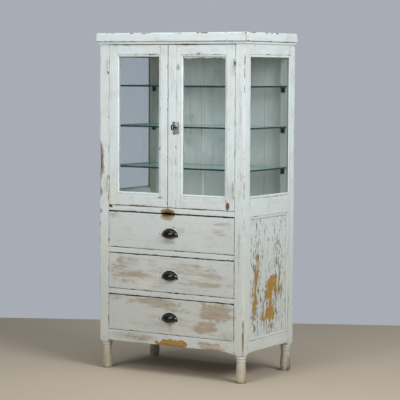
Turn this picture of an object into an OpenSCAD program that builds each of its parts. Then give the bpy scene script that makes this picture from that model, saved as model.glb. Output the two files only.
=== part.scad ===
// Apothecary cabinet: a free-standing glazed cupboard over three drawers.
// Two glazed doors, glazed sides, three glass shelves, turned feet.
// Millimetres. X runs to the right, the front faces -Y, Z is up from the floor.

/* [Overall] */
// Width over the posts
body_w = 854; // [700:1:1100]
// Depth over the posts
body_d = 486; // [400:1:600]
// Height from floor to top
total_h = 1700; // [1500:1:1900]
// Side of each square post
post = 54; // [44:1:64]
// Height of the turned part of each post
foot_h = 150; // [120:1:180]

/* [Top] */
// Height of the cornice board edge
cornice_t = 43; // [30:0.5:60]
// How far the cornice board stands past the posts
cornice_over = 13; // [6:0.5:30]
// Height of the thin moulding under the cornice
mould_h = 14; // [8:0.5:20]
// How far the thin moulding stands past the posts
mould_over = 6; // [3:0.5:10]

/* [Doors] */
// Thickness of the doors
door_t = 22; // [18:0.5:28]
// Gap between a door and the post beside it
hinge_gap = 1.5; // [1:0.1:3]
// Where the two doors meet, from the middle
meet_x = -16; // [-30:0.5:0]
// Gap where the two doors meet
meet_gap = 2.4; // [2:0.1:4]
// Width of the stile beside the hinges
stile_w = 48; // [38:0.5:60]
// Width of the meeting stile of the left door
meet_stile_l = 44.5; // [36:0.5:60]
// Width of the meeting stile of the right door
meet_stile_r = 74; // [60:0.5:84]
// Width of the meeting strip let into the right door
strip_w = 48; // [30:0.5:56]
// Height of the top rail of a door
door_rail_t = 49; // [40:0.5:60]
// Height of the bottom rail of a door
door_rail_b = 59; // [48:0.5:70]
// Width of the glazing beads
bead_w = 10; // [7:0.5:14]
// How far the panes sit behind the face of a door
pane_set = 11; // [8:0.5:13]
// Thickness of the panes
pane_t = 3; // [2:0.5:4]

/* [Shelves] */
// Height of the middle of the upper shelf
shelf_1 = 1437; // [1400:1:1500]
// Height of the middle of the middle shelf
shelf_2 = 1234.5; // [1180:0.5:1280]
// Height of the middle of the lower shelf
shelf_3 = 1030; // [990:1:1080]
// Thickness of the glass shelves
shelf_t = 8; // [5:0.5:10]

/* [Drawers] */
// Top of the front of the upper drawer
drawer_top = 804; // [780:1:820]
// Height of a drawer front
drawer_h = 178; // [150:1:190]
// Distance from one drawer to the next
drawer_pitch = 210.2; // [196:0.1:230]
// Gap above a drawer front
drawer_gap = 3.6; // [2:0.1:5]
// Gap between the sill and the upper drawer front
sill_gap = 5.6; // [2:0.1:7]
// Depth of a drawer from front to back
drawer_len = 442; // [380:1:450]
// Width of a cup pull
pull_w = 96; // [80:1:110]
// Height of a cup pull
pull_h = 47; // [40:1:60]
// How far a cup pull stands out
pull_out = 24; // [18:0.5:26]

/* [Lock] */
// Distance of the keyhole from the middle
key_x = 36; // [20:0.5:50]
// Height of the keyhole
key_z = 1236; // [1200:1:1280]
// How far the key stands out in front of the posts
key_out = 47; // [40:0.5:60]
// Width of the keyhole plate
plate_w = 40; // [30:0.5:46]
// Height of the keyhole plate
plate_h = 63; // [50:0.5:80]

/* [Hidden] */
$fn = 48;
y_shift = key_out / 2;
yf = -body_d / 2 + y_shift;
yb = body_d / 2 + y_shift;
hw = body_w / 2;
// inner faces of the posts
ix = hw - post;
iyf = yf + post;
iyb = yb - post;
z_top = total_h - cornice_t;
z_mould = z_top - mould_h;
door_top = z_mould - 2.5;
rail_h = 27;
rail_d = 27;
dz1 = drawer_top;
dz2 = drawer_top - drawer_pitch;
dz3 = drawer_top - 2 * drawer_pitch;
sill_bot = dz1 + sill_gap;
sill_top = dz1 + drawer_gap + 28.7;
door_bot = sill_top + 2.2;
ru_bot = dz2 + drawer_gap;
ru_top = dz1 - drawer_h - 1.6;
rl_bot = dz3 + drawer_gap;
rl_top = dz2 - drawer_h - 1.6;
apron_top = dz3 - drawer_h - 1.6;
apron_bot = 148;
st_top = z_mould - 2;
st_bot = 1592;
sm_top = 897;
sm_bot = 808;
side_t = 22;
lx0 = -ix + hinge_gap;
lx1 = meet_x - meet_gap / 2;
rx0 = meet_x + meet_gap / 2;
rx1 = ix - hinge_gap;
open_z0 = door_bot + door_rail_b;
open_z1 = door_top - door_rail_t;
lip = 8;
// cup pull: radii of the lens it is cut from
pull_ax = 9;
pull_r = sqrt(pow(pull_h * 2 / 3, 2) + pull_ax * pull_ax);
pull_off = (pull_w * pull_w / 4 + pull_ax * pull_ax - pull_r * pull_r) / (2 * (pull_r - pull_ax));
pull_fwd = pull_r - 5 - pull_out;
// hinge axes
hx = ix - hinge_gap / 2;
hy = yf - 4.3;
hinge_l = 74;
hinge_z = [946, 1535];
knuckle_r = 4;
pin_r = 1.6;
run = 0.05;
eps = 1;
// doors' back face
dyb = yf + door_t;
paint = [0.86, 0.88, 0.85];
bare = [0.72, 0.62, 0.46];
iron = [0.07, 0.07, 0.07];
steel = [0.62, 0.63, 0.64];
pane = [0.72, 0.82, 0.80, 0.45];
thick_glass = [0.30, 0.52, 0.47, 0.6];

// a block given by its two opposite corners
module blk(x0, x1, y0, y1, z0, z1) {
    translate([min(x0, x1), min(y0, y1), min(z0, z1)])
        cube([abs(x1 - x0), abs(y1 - y0), abs(z1 - z0)]);
}

// ---- tenons: the same blocks lengthen the rails and cut the posts ----

ten = 24;

module tenons_front(side) {
    s = side;
    blk(s * ix, s * (ix + ten), yf + 8, yf + 19, sill_bot + 4, sill_top - 4);
    blk(s * ix, s * (ix + ten), yf + 8, yf + 19, ru_bot + 4, ru_top - 4);
    blk(s * ix, s * (ix + ten), yf + 8, yf + 19, rl_bot + 4, rl_top - 4);
    blk(s * ix, s * (ix + ten), yf + 7, yf + 16, apron_bot + 12, apron_top - 6);
}

module tenon_sides(side, yface, dir, z0, z1) {
    blk(side * (hw - 16), side * (hw - 7), yface, yface + dir * ten, z0, z1);
}

module tenons_side(side, back) {
    yface = back ? iyb : iyf;
    dir = back ? 1 : -1;
    tenon_sides(side, yface, dir, st_bot + 14, st_top - 6);
    tenon_sides(side, yface, dir, sm_bot + 10, sm_top - 14);
    tenon_sides(side, yface, dir, apron_bot + 12, apron_top - 10);
}

module tenons_back(side) {
    blk(side * ix, side * (ix + ten), yb - 32, yb - 24, st_bot + 10, z_top - 8);
    blk(side * ix, side * (ix + ten), yb - 32, yb - 24, sm_bot - 3, sm_bot + 12);
    blk(side * ix, side * (ix + ten), yb - 32, yb - 24, apron_bot + 12, apron_top - 6);
}

// ---- posts ----

module foot_turning() {
    rotate_extrude($fn = 64)
        polygon([
            [0, 0], [21.5, 0], [22.5, 3], [24.2, 9], [25.6, 18], [26.3, 28],
            [26.2, 38], [25.4, 50], [24.2, 63], [23, 76], [22.1, 88],
            [21.7, 97], [21.9, 102], [22.9, 104.5], [23.6, 107], [22.9, 109.5],
            [22.4, 112], [22.6, 116], [23.4, 118.5], [24.8, 120.5],
            [25.6, 123.5], [25.2, 126.5], [23.8, 128.5], [24.6, 131],
            [27.5, 134.5], [31, 139], [34.4, 143.5], [37, 147.5],
            [38.4, foot_h + 1], [38.4, foot_h + 4], [0, foot_h + 4]
        ]);
}

module post_blank(side, back) {
    cx = side * (hw - post / 2);
    cy = back ? yb - post / 2 : yf + post / 2;
    translate([cx, cy, 0])
        union() {
            intersection() {
                foot_turning();
                translate([-post / 2, -post / 2, 0])
                    cube([post, post, foot_h + 4]);
            }
            translate([-post / 2, -post / 2, foot_h + 3])
                cube([post, post, z_top - foot_h - 3]);
        }
}

// rebate in the outer inside corner that takes the side pane and its bead
module pane_rebate(side, back) {
    y0 = back ? iyb - eps : iyf - 9;
    y1 = back ? iyb + 9 : iyf + eps;
    blk(side * (hw - 9), side * (hw + eps), y0, y1, sm_top, st_bot);
}

// groove in the side face that takes the edge of the lower side panel
module panel_groove(side, back) {
    y0 = back ? iyb - eps : iyf - 6;
    y1 = back ? iyb + 6 : iyf + eps;
    blk(side * (hw - 15), side * (hw - 7), y0, y1, apron_top - 6, sm_bot + 6);
}

module front_post(side) {
    difference() {
        post_blank(side, false);
        tenons_front(side);
        tenons_side(side, false);
        pane_rebate(side, false);
        panel_groove(side, false);
        for (z = hinge_z)
            blk(side * (ix - eps), side * (ix + 1), yf - eps, yf + 17,
                z - hinge_l / 2, z + hinge_l / 2);
    }
}

module back_post(side) {
    difference() {
        post_blank(side, true);
        tenons_back(side);
        tenons_side(side, true);
        pane_rebate(side, true);
        panel_groove(side, true);
    }
}

module post_front_left() {
    color(paint) front_post(-1);
}

module post_front_right() {
    color(paint) front_post(1);
}

module post_back_left() {
    color(paint) back_post(-1);
}

module post_back_right() {
    color(paint) back_post(1);
}

// ---- sides ----

module side_rail(side, z0, z1) {
    blk(side * (hw - side_t), side * hw, iyf, iyb, z0, z1);
}

module side_top_rails() {
    color(paint)
        for (s = [-1, 1])
            difference() {
                union() {
                    side_rail(s, st_bot - 6, z_top);
                    tenon_sides(s, iyf, -1, st_bot + 14, st_top - 6);
                    tenon_sides(s, iyb, 1, st_bot + 14, st_top - 6);
                }
                blk(s * (hw - 9), s * (hw + eps), iyf - eps, iyb + eps,
                    st_bot - 6 - eps, st_bot);
            }
}

module side_middle_rails() {
    color(paint)
        for (s = [-1, 1])
            difference() {
                union() {
                    side_rail(s, sm_bot, sm_top + 6);
                    tenon_sides(s, iyf, -1, sm_bot + 10, sm_top - 14);
                    tenon_sides(s, iyb, 1, sm_bot + 10, sm_top - 14);
                }
                blk(s * (hw - 9), s * (hw + eps), iyf - eps, iyb + eps,
                    sm_top, sm_top + 6 + eps);
                blk(s * (hw - 15), s * (hw - 7), iyf - eps, iyb + eps,
                    sm_bot - eps, sm_bot + 6);
            }
}

module side_aprons() {
    color(paint)
        for (s = [-1, 1])
            difference() {
                union() {
                    side_rail(s, apron_bot, apron_top);
                    tenon_sides(s, iyf, -1, apron_bot + 12, apron_top - 10);
                    tenon_sides(s, iyb, 1, apron_bot + 12, apron_top - 10);
                    if (s == 1)
                        translate([hw - side_t, 0, 0])
                            rotate([90, 0, 90])
                                linear_extrude(side_t)
                                    polygon([
                                        [iyf, apron_bot + 2],
                                        [iyf, apron_bot - 5],
                                        [iyf + 10, apron_bot - 3.4],
                                        [iyf + 22, apron_bot - 1.8],
                                        [iyf + 36, apron_bot - 0.6],
                                        [iyf + 50, apron_bot],
                                        [iyf + 50, apron_bot + 2]
                                    ]);
                }
                blk(s * (hw - 15), s * (hw - 7), iyf - eps, iyb + eps,
                    apron_top - 6, apron_top + eps);
            }
}

module side_panels() {
    color(paint)
        for (s = [-1, 1])
            blk(s * (hw - 15), s * (hw - 7), iyf - 6, iyb + 6,
                apron_top - 6, sm_bot + 6);
}

module side_panes() {
    color(pane)
        for (s = [-1, 1])
            blk(s * (hw - 9), s * (hw - 6), iyf - 7, iyb + 7,
                sm_top + 1.5, st_bot - 1.5);
}

// a moulded bead mitred round an opening: w wide and t thick, outer face at d0 from the datum
module bead_ring(a0, a1, b0, b1, w, t) {
    difference() {
        translate([a0, b0, 0])
            cube([a1 - a0, b1 - b0, t]);
        translate([a0 + w, b0 + w, -eps])
            cube([a1 - a0 - 2 * w, b1 - b0 - 2 * w, t + 2 * eps]);
        // inner arris worked off at a slope on all four sides
        translate([0, 0, t * 0.45])
            rotate([0, 0, 0])
                bead_cove(a0, a1, b0, b1, w, t);
    }
}

module bead_cove(a0, a1, b0, b1, w, t) {
    h = t;
    k = w * 0.62;
    polyhedron(
        points = [
            [a0 + w, b0 + w, 0], [a1 - w, b0 + w, 0],
            [a1 - w, b1 - w, 0], [a0 + w, b1 - w, 0],
            [a0 + w - k, b0 + w - k, h], [a1 - w + k, b0 + w - k, h],
            [a1 - w + k, b1 - w + k, h], [a0 + w - k, b1 - w + k, h]
        ],
        faces = [
            [0, 1, 2, 3], [7, 6, 5, 4], [4, 5, 1, 0],
            [5, 6, 2, 1], [6, 7, 3, 2], [7, 4, 0, 3]
        ]);
}

module side_beads() {
    color(paint)
        for (s = [-1, 1]) {
            side_ring(s, iyf - 9, iyb + 9, sm_top, st_bot, 12, 5.5, hw - 6);
            side_ring(s, iyf, iyb, apron_top, sm_bot, 12, 6, hw - 7);
        }
}

module side_ring(s, y0, y1, z0, z1, w, t, xin) {
    // local x becomes Y, local y becomes Z, local z points out of the side
    if (s > 0)
        multmatrix([[0, 0, 1, xin], [1, 0, 0, 0], [0, 1, 0, 0], [0, 0, 0, 1]])
            bead_ring(y0, y1, z0, z1, w, t);
    else
        multmatrix([[0, 0, -1, -xin], [-1, 0, 0, 0], [0, 1, 0, 0], [0, 0, 0, 1]])
            bead_ring(-y1, -y0, z0, z1, w, t);
}

// ---- front and back members ----

module front_top_rail() {
    color(paint)
        difference() {
            union() {
                blk(-ix, ix, yf, yf + 40, z_mould, z_top);
                blk(-ix, ix, dyb + 1.5, dyb + 17.5, z_mould - 15, z_mould);
            }
            translate([bolt_x, bolt_y, z_mould - 15 - eps])
                cylinder(h = 24 + eps, r = 4.6);
        }
}

bolt_x = -39.5;
bolt_y = yf + door_t + 9;

module front_member(z0, z1, d) {
    blk(-ix, ix, yf, yf + d, z0, z1);
}

module sill_rail() {
    color(paint) {
        front_member(sill_bot, sill_top, rail_d);
        for (s = [-1, 1])
            blk(s * ix, s * (ix + ten), yf + 8, yf + 19, sill_bot + 4, sill_top - 4);
    }
}

module drawer_rail_upper() {
    color(paint) {
        front_member(ru_bot, ru_top, rail_d);
        for (s = [-1, 1])
            blk(s * ix, s * (ix + ten), yf + 8, yf + 19, ru_bot + 4, ru_top - 4);
    }
}

module drawer_rail_lower() {
    color(paint) {
        front_member(rl_bot, rl_top, rail_d);
        for (s = [-1, 1])
            blk(s * ix, s * (ix + ten), yf + 8, yf + 19, rl_bot + 4, rl_top - 4);
    }
}

module front_apron() {
    color(paint) {
        front_member(apron_bot, apron_top, 22);
        for (s = [-1, 1])
            blk(s * ix, s * (ix + ten), yf + 7, yf + 16, apron_bot + 12, apron_top - 6);
        translate([0, yf + 22, 0])
            rotate([90, 0, 0])
                linear_extrude(22)
                    polygon([
                        [ix, apron_bot + 2], [ix, apron_bot - 9],
                        [ix - 9, apron_bot - 6.6], [ix - 20, apron_bot - 4],
                        [ix - 32, apron_bot - 1.8], [ix - 44, apron_bot - 0.6],
                        [ix - 56, apron_bot], [ix - 56, apron_bot + 2]
                    ]);
    }
}

module back_rails() {
    color(bare) {
        blk(-ix, ix, yb - 38, yb - 18, st_bot, z_top);
        blk(-ix, ix, yb - 38, yb - 18, sm_bot - 8, sill_top - 12);
        blk(-ix, ix, yb - 38, yb - 18, apron_bot + 4, apron_top);
        for (s = [-1, 1]) {
            blk(s * ix, s * (ix + ten), yb - 32, yb - 24, st_bot + 10, z_top - 8);
            blk(s * ix, s * (ix + ten), yb - 32, yb - 24, sm_bot - 3, sm_bot + 12);
            blk(s * ix, s * (ix + ten), yb - 32, yb - 24,
                apron_bot + 12, apron_top - 6);
        }
    }
}

board_x = [-ix, -278, -188, -98, -8, 82, 172, 262, ix];

module back_board(x0, x1) {
    translate([0, 0, apron_bot + 4])
        linear_extrude(z_top - apron_bot - 4)
            polygon([
                [x0 + 0.2, yb - 15], [x0 + 2.4, yb - 18], [x1 - 2.6, yb - 18],
                [x1 - 0.4, yb - 15], [x1 - 0.4, yb - 6], [x0 + 0.2, yb - 6]
            ]);
}

module back_boards() {
    color(bare)
        for (i = [0 : len(board_x) - 2])
            back_board(board_x[i], board_x[i + 1]);
}

module cupboard_floor() {
    color(bare)
        difference() {
            union() {
                blk(-ix, ix, yf + rail_d, yb - 18, sill_top - 12, sill_top);
                blk(-hw + side_t, hw - side_t, iyf, iyb, sill_top - 12, sill_top);
            }
            translate([bolt_x, bolt_y, sill_top - 12 - eps])
                cylinder(h = 12 + 2 * eps, r = 4.6);
        }
}

module drawer_runner(s, y0, z1) {
    blk(s * 345, s * ix, y0, yb - 38, z1 - 18, z1);
    blk(s * ix, s * (hw - side_t), iyf, iyb, z1 - 18, z1);
    blk(s * (ix - 1.6), s * (hw - side_t), iyf, iyb, z1, z1 + 34);
}

module drawer_runners() {
    color(bare)
        for (s = [-1, 1]) {
            drawer_runner(s, yf + rail_d, ru_top);
            drawer_runner(s, yf + rail_d, rl_top);
            drawer_runner(s, yf + 22, apron_top);
        }
}

// ---- top ----

module top_panel() {
    color(paint)
        blk(-hw - cornice_over + 18, hw + cornice_over - 18,
            yf - cornice_over + 18, yb, z_top, total_h - 4);
}

// a board edge with small rounded arrises, 18 thick, standing on z_top
module cornice_section() {
    polygon([
        [0, 0], [16.5, 0], [18, 1.5], [18, cornice_t - 5],
        [17.4, cornice_t - 2.6], [16, cornice_t - 1], [14, cornice_t],
        [0, cornice_t]
    ]);
}

module cornice_front() {
    xo = hw + cornice_over;
    color(paint)
        intersection() {
            translate([-xo, yf - cornice_over + 18, z_top])
                rotate([90, 0, 90])
                    mirror([1, 0, 0])
                        linear_extrude(2 * xo)
                            cornice_section();
            translate([0, yf - cornice_over, z_top - eps])
                linear_extrude(cornice_t + 2 * eps)
                    polygon([
                        [-xo, 0], [xo, 0], [xo - 18, 18], [-xo + 18, 18]
                    ]);
        }
}

module cornice_side(s) {
    xo = hw + cornice_over;
    intersection() {
        translate([s * (xo - 18), yb, z_top])
            rotate([90, 0, 0])
                mirror([s > 0 ? 0 : 1, 0, 0])
                    linear_extrude(body_d + cornice_over)
                        cornice_section();
        translate([s * xo, yf - cornice_over, z_top - eps])
            mirror([s > 0 ? 0 : 1, 0, 0])
                linear_extrude(cornice_t + 2 * eps)
                    polygon([
                        [0, 0], [0, body_d + cornice_over],
                        [-18, body_d + cornice_over], [-18, 18]
                    ]);
    }
}

module cornice_sides() {
    color(paint) {
        cornice_side(-1);
        cornice_side(1);
    }
}

// the thin moulding: three lengths planted on the faces, mitred at the front
module cornice_moulding() {
    m = mould_over;
    h = mould_h - 0.2;
    color(paint)
        translate([0, 0, z_mould])
            difference() {
                union() {
                    blk(-hw - m * 0.55, hw + m * 0.55, yf - m * 0.55, yb, 0, h);
                    blk(-hw - m, hw + m, yf - m, yb, 3, h - 1.5);
                }
                blk(-hw, hw, yf, yb + eps, -eps, h + eps);
            }
}

// ---- shelves ----

module glass_shelf(z) {
    color(thick_glass)
        blk(-hw + 15, hw - 15, iyf + 2.7, iyb - 2.7, z - shelf_t / 2, z + shelf_t / 2);
}

module shelf_upper() {
    glass_shelf(shelf_1);
}

module shelf_middle() {
    glass_shelf(shelf_2);
}

module shelf_lower() {
    glass_shelf(shelf_3);
}

module shelf_clip(s, back, z) {
    yw = back ? iyb : iyf;
    d = back ? -1 : 1;
    zb = z - shelf_t / 2;
    x0 = s * (ix + 6);
    x1 = s * (ix + 28);
    blk(x0, x1, yw, yw + d * 2.5, zb - 26, zb + 8);
    blk(x0, x1, yw + d * 2, yw + d * 16, zb - 3, zb - 0.2);
    translate([s * (ix + 17), yw + d * 2.3, zb - 15])
        rotate([d * -90, 0, 0])
            cylinder(h = 2, r1 = 3.6, r2 = 2.4, $fn = 24);
}

module shelf_clips() {
    color(iron)
        for (z = [shelf_1, shelf_2, shelf_3])
            for (s = [-1, 1])
                for (b = [false, true])
                    shelf_clip(s, b, z);
}

// ---- hinges ----

module knuckle(s, z0, z1) {
    translate([s * hx, hy, z0])
        difference() {
            cylinder(h = z1 - z0, r = knuckle_r);
            translate([0, 0, -eps])
                cylinder(h = z1 - z0 + 2 * eps, r = pin_r);
        }
}

module hinge_leaves_post() {
    color(iron)
        for (s = [-1, 1])
            for (z = hinge_z) {
                difference() {
                    union() {
                        blk(s * (ix - 0.45), s * (ix + 1), hy + 1, yf + 17,
                            z - hinge_l / 2, z + hinge_l / 2);
                        knuckle(s, z - hinge_l / 2, z - 13);
                        knuckle(s, z + 13, z + hinge_l / 2);
                    }
                    blk(s * (ix - 6), s * (ix + 5), hy - 6, hy + 4.25, z - 13, z + 13);
                    translate([s * hx, hy, z - hinge_l])
                        cylinder(h = 2 * hinge_l, r = pin_r);
                }
            }
}

module hinge_pins() {
    color(iron)
        for (s = [-1, 1])
            for (z = hinge_z)
                translate([s * hx, hy, z - hinge_l / 2 - 2.5]) {
                    cylinder(h = hinge_l + 5, r = pin_r);
                    cylinder(h = 2.5, r1 = 2.2, r2 = 3.4);
                    translate([0, 0, hinge_l + 2.5])
                        cylinder(h = 2.5, r1 = 3.4, r2 = 2.2);
                }
}

module door_leaves(s) {
    for (z = hinge_z)
        difference() {
            union() {
                blk(s * (ix - 1.05), s * (ix - 2.5), hy + 1, yf + 17,
                    z - hinge_l / 2, z + hinge_l / 2);
                translate([s * hx, hy, z - 12.7])
                    cylinder(h = 25.4, r = knuckle_r);
            }
            translate([s * hx, hy, z - 13])
                cylinder(h = 26, r = pin_r + run);
            for (k = [-1, 1])
                blk(s * (ix - 6), s * (ix + 5), hy - 6, hy + 4.25,
                    z + k * 12.7, z + k * (hinge_l / 2 + eps));
        }
}

module door_left_leaves() {
    color(iron) door_leaves(-1);
}

module door_right_leaves() {
    color(iron) door_leaves(1);
}

// ---- doors ----

// an upright or rail of a door with the rebate for pane and bead taken out of it
module door_rebate(x0, x1) {
    blk(x0, x1, yf - eps, yf + pane_set + pane_t, open_z0, open_z1);
}

module rail_tenons(x0, x1, z0, z1) {
    blk(x0 - 26, x1 + 26, yf + pane_set + pane_t, yf + door_t - 1.5, z0, z1);
}

// the hidden tenons of the two rails of a door, reaching into its stiles
module door_tenons(ox0, ox1) {
    rail_tenons(ox0, ox1, door_bot + 8, open_z0 - 4);
    rail_tenons(ox0, ox1, open_z1 + 4, door_top - 8);
}

module stile(x0, x1) {
    blk(x0, x1, yf, yf + door_t, door_bot, door_top);
}

// the opening between ox0 and ox1 is measured at the face; the lip behind it is narrower
module door_stiles(x0, x1, ox0, ox1, s) {
    difference() {
        union() {
            stile(x0, ox0 + lip);
            stile(ox1 - lip, x1);
        }
        door_rebate(ox0, ox1);
        blk(ox0, ox1, yf - eps, yf + door_t + eps, door_bot - eps, open_z0 + lip);
        blk(ox0, ox1, yf - eps, yf + door_t + eps, open_z1 - lip, door_top + eps);
        door_tenons(ox0 + lip, ox1 - lip);
        for (z = hinge_z)
            blk(s * (ix - 1.05), s * (ix - 2.5), yf - eps, yf + 17,
                z - hinge_l / 2, z + hinge_l / 2);
    }
}

module door_rails(ox0, ox1) {
    difference() {
        union() {
            blk(ox0, ox1, yf, yf + door_t, door_bot, open_z0 + lip);
            blk(ox0, ox1, yf, yf + door_t, open_z1 - lip, door_top);
            rail_tenons(ox0 + lip, ox1 - lip, door_bot + 8, open_z0 - 4);
            rail_tenons(ox0 + lip, ox1 - lip, open_z1 + 4, door_top - 8);
        }
        door_rebate(ox0, ox1);
    }
}

module door_pane(ox0, ox1) {
    blk(ox0 + 1.5, ox1 - 1.5, yf + pane_set, yf + pane_set + pane_t,
        open_z0 + 1.5, open_z1 - 1.5);
}

module door_beads(ox0, ox1) {
    t = pane_set - 1.5;
    multmatrix([[1, 0, 0, 0], [0, 0, -1, yf + pane_set], [0, 1, 0, 0], [0, 0, 0, 1]])
        bead_ring(ox0, ox1, open_z0, open_z1, bead_w, t);
}

lo0 = lx0 + stile_w;
lo1 = lx1 - meet_stile_l;
ro0 = rx0 + meet_stile_r;
ro1 = rx1 - stile_w;

module door_left_stiles() {
    color(paint) door_stiles(lx0, lx1, lo0, lo1, -1);
}

module door_left_rails() {
    color(paint) door_rails(lo0, lo1);
}

module door_left_pane() {
    color(pane) door_pane(lo0, lo1);
}

module door_left_beads() {
    color(paint) door_beads(lo0, lo1);
}

module keyhole_shape(h) {
    cylinder(h = h, r = 4.5);
    translate([-2.2, -13.5, 0])
        cube([4.4, 13.5, h]);
}

module door_right_stiles() {
    color(paint)
        difference() {
            door_stiles(rx0, rx1, ro0, ro1, 1);
            blk(rx0 - eps, rx0 + strip_w, yf - eps, yf + 8, door_bot - eps, door_top + eps);
            translate([key_x, yf + door_t + eps, key_z])
                rotate([90, 0, 0])
                    keyhole_shape(door_t + 2 * eps);
        }
}

module door_right_rails() {
    color(paint) door_rails(ro0, ro1);
}

module door_right_pane() {
    color(pane) door_pane(ro0, ro1);
}

module door_right_beads() {
    color(paint) door_beads(ro0, ro1);
}

// the strip has a rounded left arris and a small hollow at its right
module meeting_strip() {
    color(paint)
        difference() {
            translate([0, 0, door_bot])
                linear_extrude(door_top - door_bot)
                    polygon([
                        [rx0, yf + 8], [rx0, yf + 2.4], [rx0 + 0.7, yf + 0.9],
                        [rx0 + 2.2, yf], [rx0 + strip_w - 1.4, yf],
                        [rx0 + strip_w, yf + 1.2], [rx0 + strip_w, yf + 8]
                    ]);
            translate([key_x, yf + door_t + eps, key_z])
                rotate([90, 0, 0])
                    keyhole_shape(door_t + 2 * eps);
        }
}

// ---- left door bolts ----

bolt_r = 4;

module keeper(z0) {
    blk(bolt_x - 13, bolt_x + 13, dyb, dyb + 2, z0, z0 + 74);
    for (z = [z0 + 2, z0 + 60])
        difference() {
            blk(bolt_x - 8, bolt_x + 8, dyb + 2, bolt_y + 6.5, z, z + 12);
            translate([bolt_x, bolt_y, z - eps])
                cylinder(h = 12 + 2 * eps, r = bolt_r + run);
        }
}

// keepers' lower ends
keep_u = door_top - 96;
keep_l = door_bot + 22;

module bolt_keepers() {
    color(iron) {
        keeper(keep_u);
        keeper(keep_l);
    }
}

module slide_bolt(z0, z1, zk) {
    translate([bolt_x, bolt_y, z0])
        cylinder(h = z1 - z0, r = bolt_r);
    translate([bolt_x, bolt_y, zk])
        rotate([-90, 0, 0])
            cylinder(h = 15, r = 2.6);
    translate([bolt_x, bolt_y + 15, zk])
        rotate([-90, 0, 0])
            cylinder(h = 5, r1 = 4.4, r2 = 3.6);
}

module bolt_upper() {
    color(iron)
        slide_bolt(keep_u - 10, z_mould - 15 - 2, keep_u + 25);
}

module bolt_lower() {
    color(iron)
        slide_bolt(sill_top + 2, keep_l + 84, keep_l + 49);
}

// ---- lock ----

case_x0 = -9;
case_x1 = 55;
case_z0 = key_z - 34;
case_z1 = key_z + 46;
case_d = 15;
bolt_z0 = key_z + 17;

module lock_case() {
    color(iron)
        difference() {
            blk(case_x0, case_x1, dyb, dyb + case_d, case_z0, case_z1);
            // room for the bolt and for the bit of the key
            blk(case_x0 + 1.6, case_x1 - 1.6, dyb - eps, dyb + case_d - 2,
                case_z0 + 1.6, case_z1 - 1.6);
            // mouth of the bolt
            blk(case_x0 - eps, case_x0 + 2, dyb + 3.4, dyb + 11.1,
                bolt_z0 - 0.05, bolt_z0 + 16.05);
            // seat of the key's end
            translate([key_x, dyb + case_d + eps, key_z])
                rotate([90, 0, 0])
                    cylinder(h = 5, r = 2 + run);
        }
}

module lock_bolt() {
    color(iron) {
        blk(-13, 1, dyb + 3.45, dyb + 11.05, bolt_z0, bolt_z0 + 16);
        blk(1, 40, dyb + 5, dyb + 10, bolt_z0 + 2, bolt_z0 + 14);
    }
}

module keyhole_plate() {
    px = 33;
    pz = key_z - 3.5;
    color(steel)
        difference() {
            union() {
                blk(px - plate_w / 2, px + plate_w / 2, yf - 1.2, yf,
                    pz - plate_h / 2, pz + plate_h / 2);
                blk(px - plate_w / 2 + 1.2, px + plate_w / 2 - 1.2, yf - 2, yf - 1,
                    pz - plate_h / 2 + 1.2, pz + plate_h / 2 - 1.2);
            }
            translate([key_x, yf + eps, key_z])
                rotate([90, 0, 0])
                    keyhole_shape(5);
            for (sx = [-1, 1])
                for (sz = [-1, 1])
                    translate([px + sx * 12.5, yf + eps, pz + sz * 24])
                        rotate([90, 0, 0])
                            cylinder(h = 5, r = 1.6, $fn = 24);
        }
}

module plate_screws() {
    px = 33;
    pz = key_z - 3.5;
    color(iron)
        for (sx = [-1, 1])
            for (sz = [-1, 1])
                translate([px + sx * 12.5, yf - 2, pz + sz * 24])
                    difference() {
                        union() {
                            rotate([90, 0, 0])
                                cylinder(h = 1.3, r1 = 3.2, r2 = 2.2, $fn = 32);
                            rotate([-90, 0, 0])
                                cylinder(h = 2, r = 1.6, $fn = 24);
                        }
                        rotate([0, 25 * sx * sz, 0])
                            translate([-4, -1.4, -0.4])
                                cube([8, 0.8, 0.8]);
                    }
}

bow_y = yf - 34;

module key() {
    color(iron) {
        difference() {
            union() {
                // shank
                translate([key_x, dyb + case_d - 3.4, key_z])
                    rotate([90, 0, 0])
                        cylinder(h = dyb + case_d - 3.4 - (yf - 21.6), r = 2.9);
                translate([key_x, dyb + case_d - 0.6, key_z])
                    rotate([90, 0, 0])
                        cylinder(h = 4, r = 2);
                // collars
                translate([key_x, yf - 15, key_z])
                    rotate([90, 0, 0])
                        cylinder(h = 2.4, r = 4.4);
                translate([key_x, yf - 18.4, key_z])
                    rotate([90, 0, 0])
                        cylinder(h = 3, r1 = 3.4, r2 = 4.6);
                // bit
                blk(key_x - 1.5, key_x + 1.5, dyb + 3, dyb + 11,
                    key_z - 12, key_z);
            }
            blk(key_x - 2, key_x + 2, dyb + 6, dyb + 8, key_z - 13, key_z - 7);
        }
        // oval bow standing upright
        translate([key_x, bow_y, key_z])
            rotate([0, 90, 0])
                difference() {
                    linear_extrude(5, center = true)
                        scale([14.5, 13])
                            circle(r = 1, $fn = 64);
                    linear_extrude(8, center = true)
                        scale([9.6, 8.2])
                            circle(r = 1, $fn = 64);
                }
    }
}

// ---- drawers ----

side_h = 150;

module drawer_front(z1) {
    difference() {
        blk(-ix + 1.5, ix - 1.5, yf, yf + 22, z1 - drawer_h, z1);
        // groove for the bottom board
        blk(-ix + 20, ix - 20, yf + 14, yf + 22 + eps,
            z1 - drawer_h + 10, z1 - drawer_h + 16);
    }
}

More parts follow.
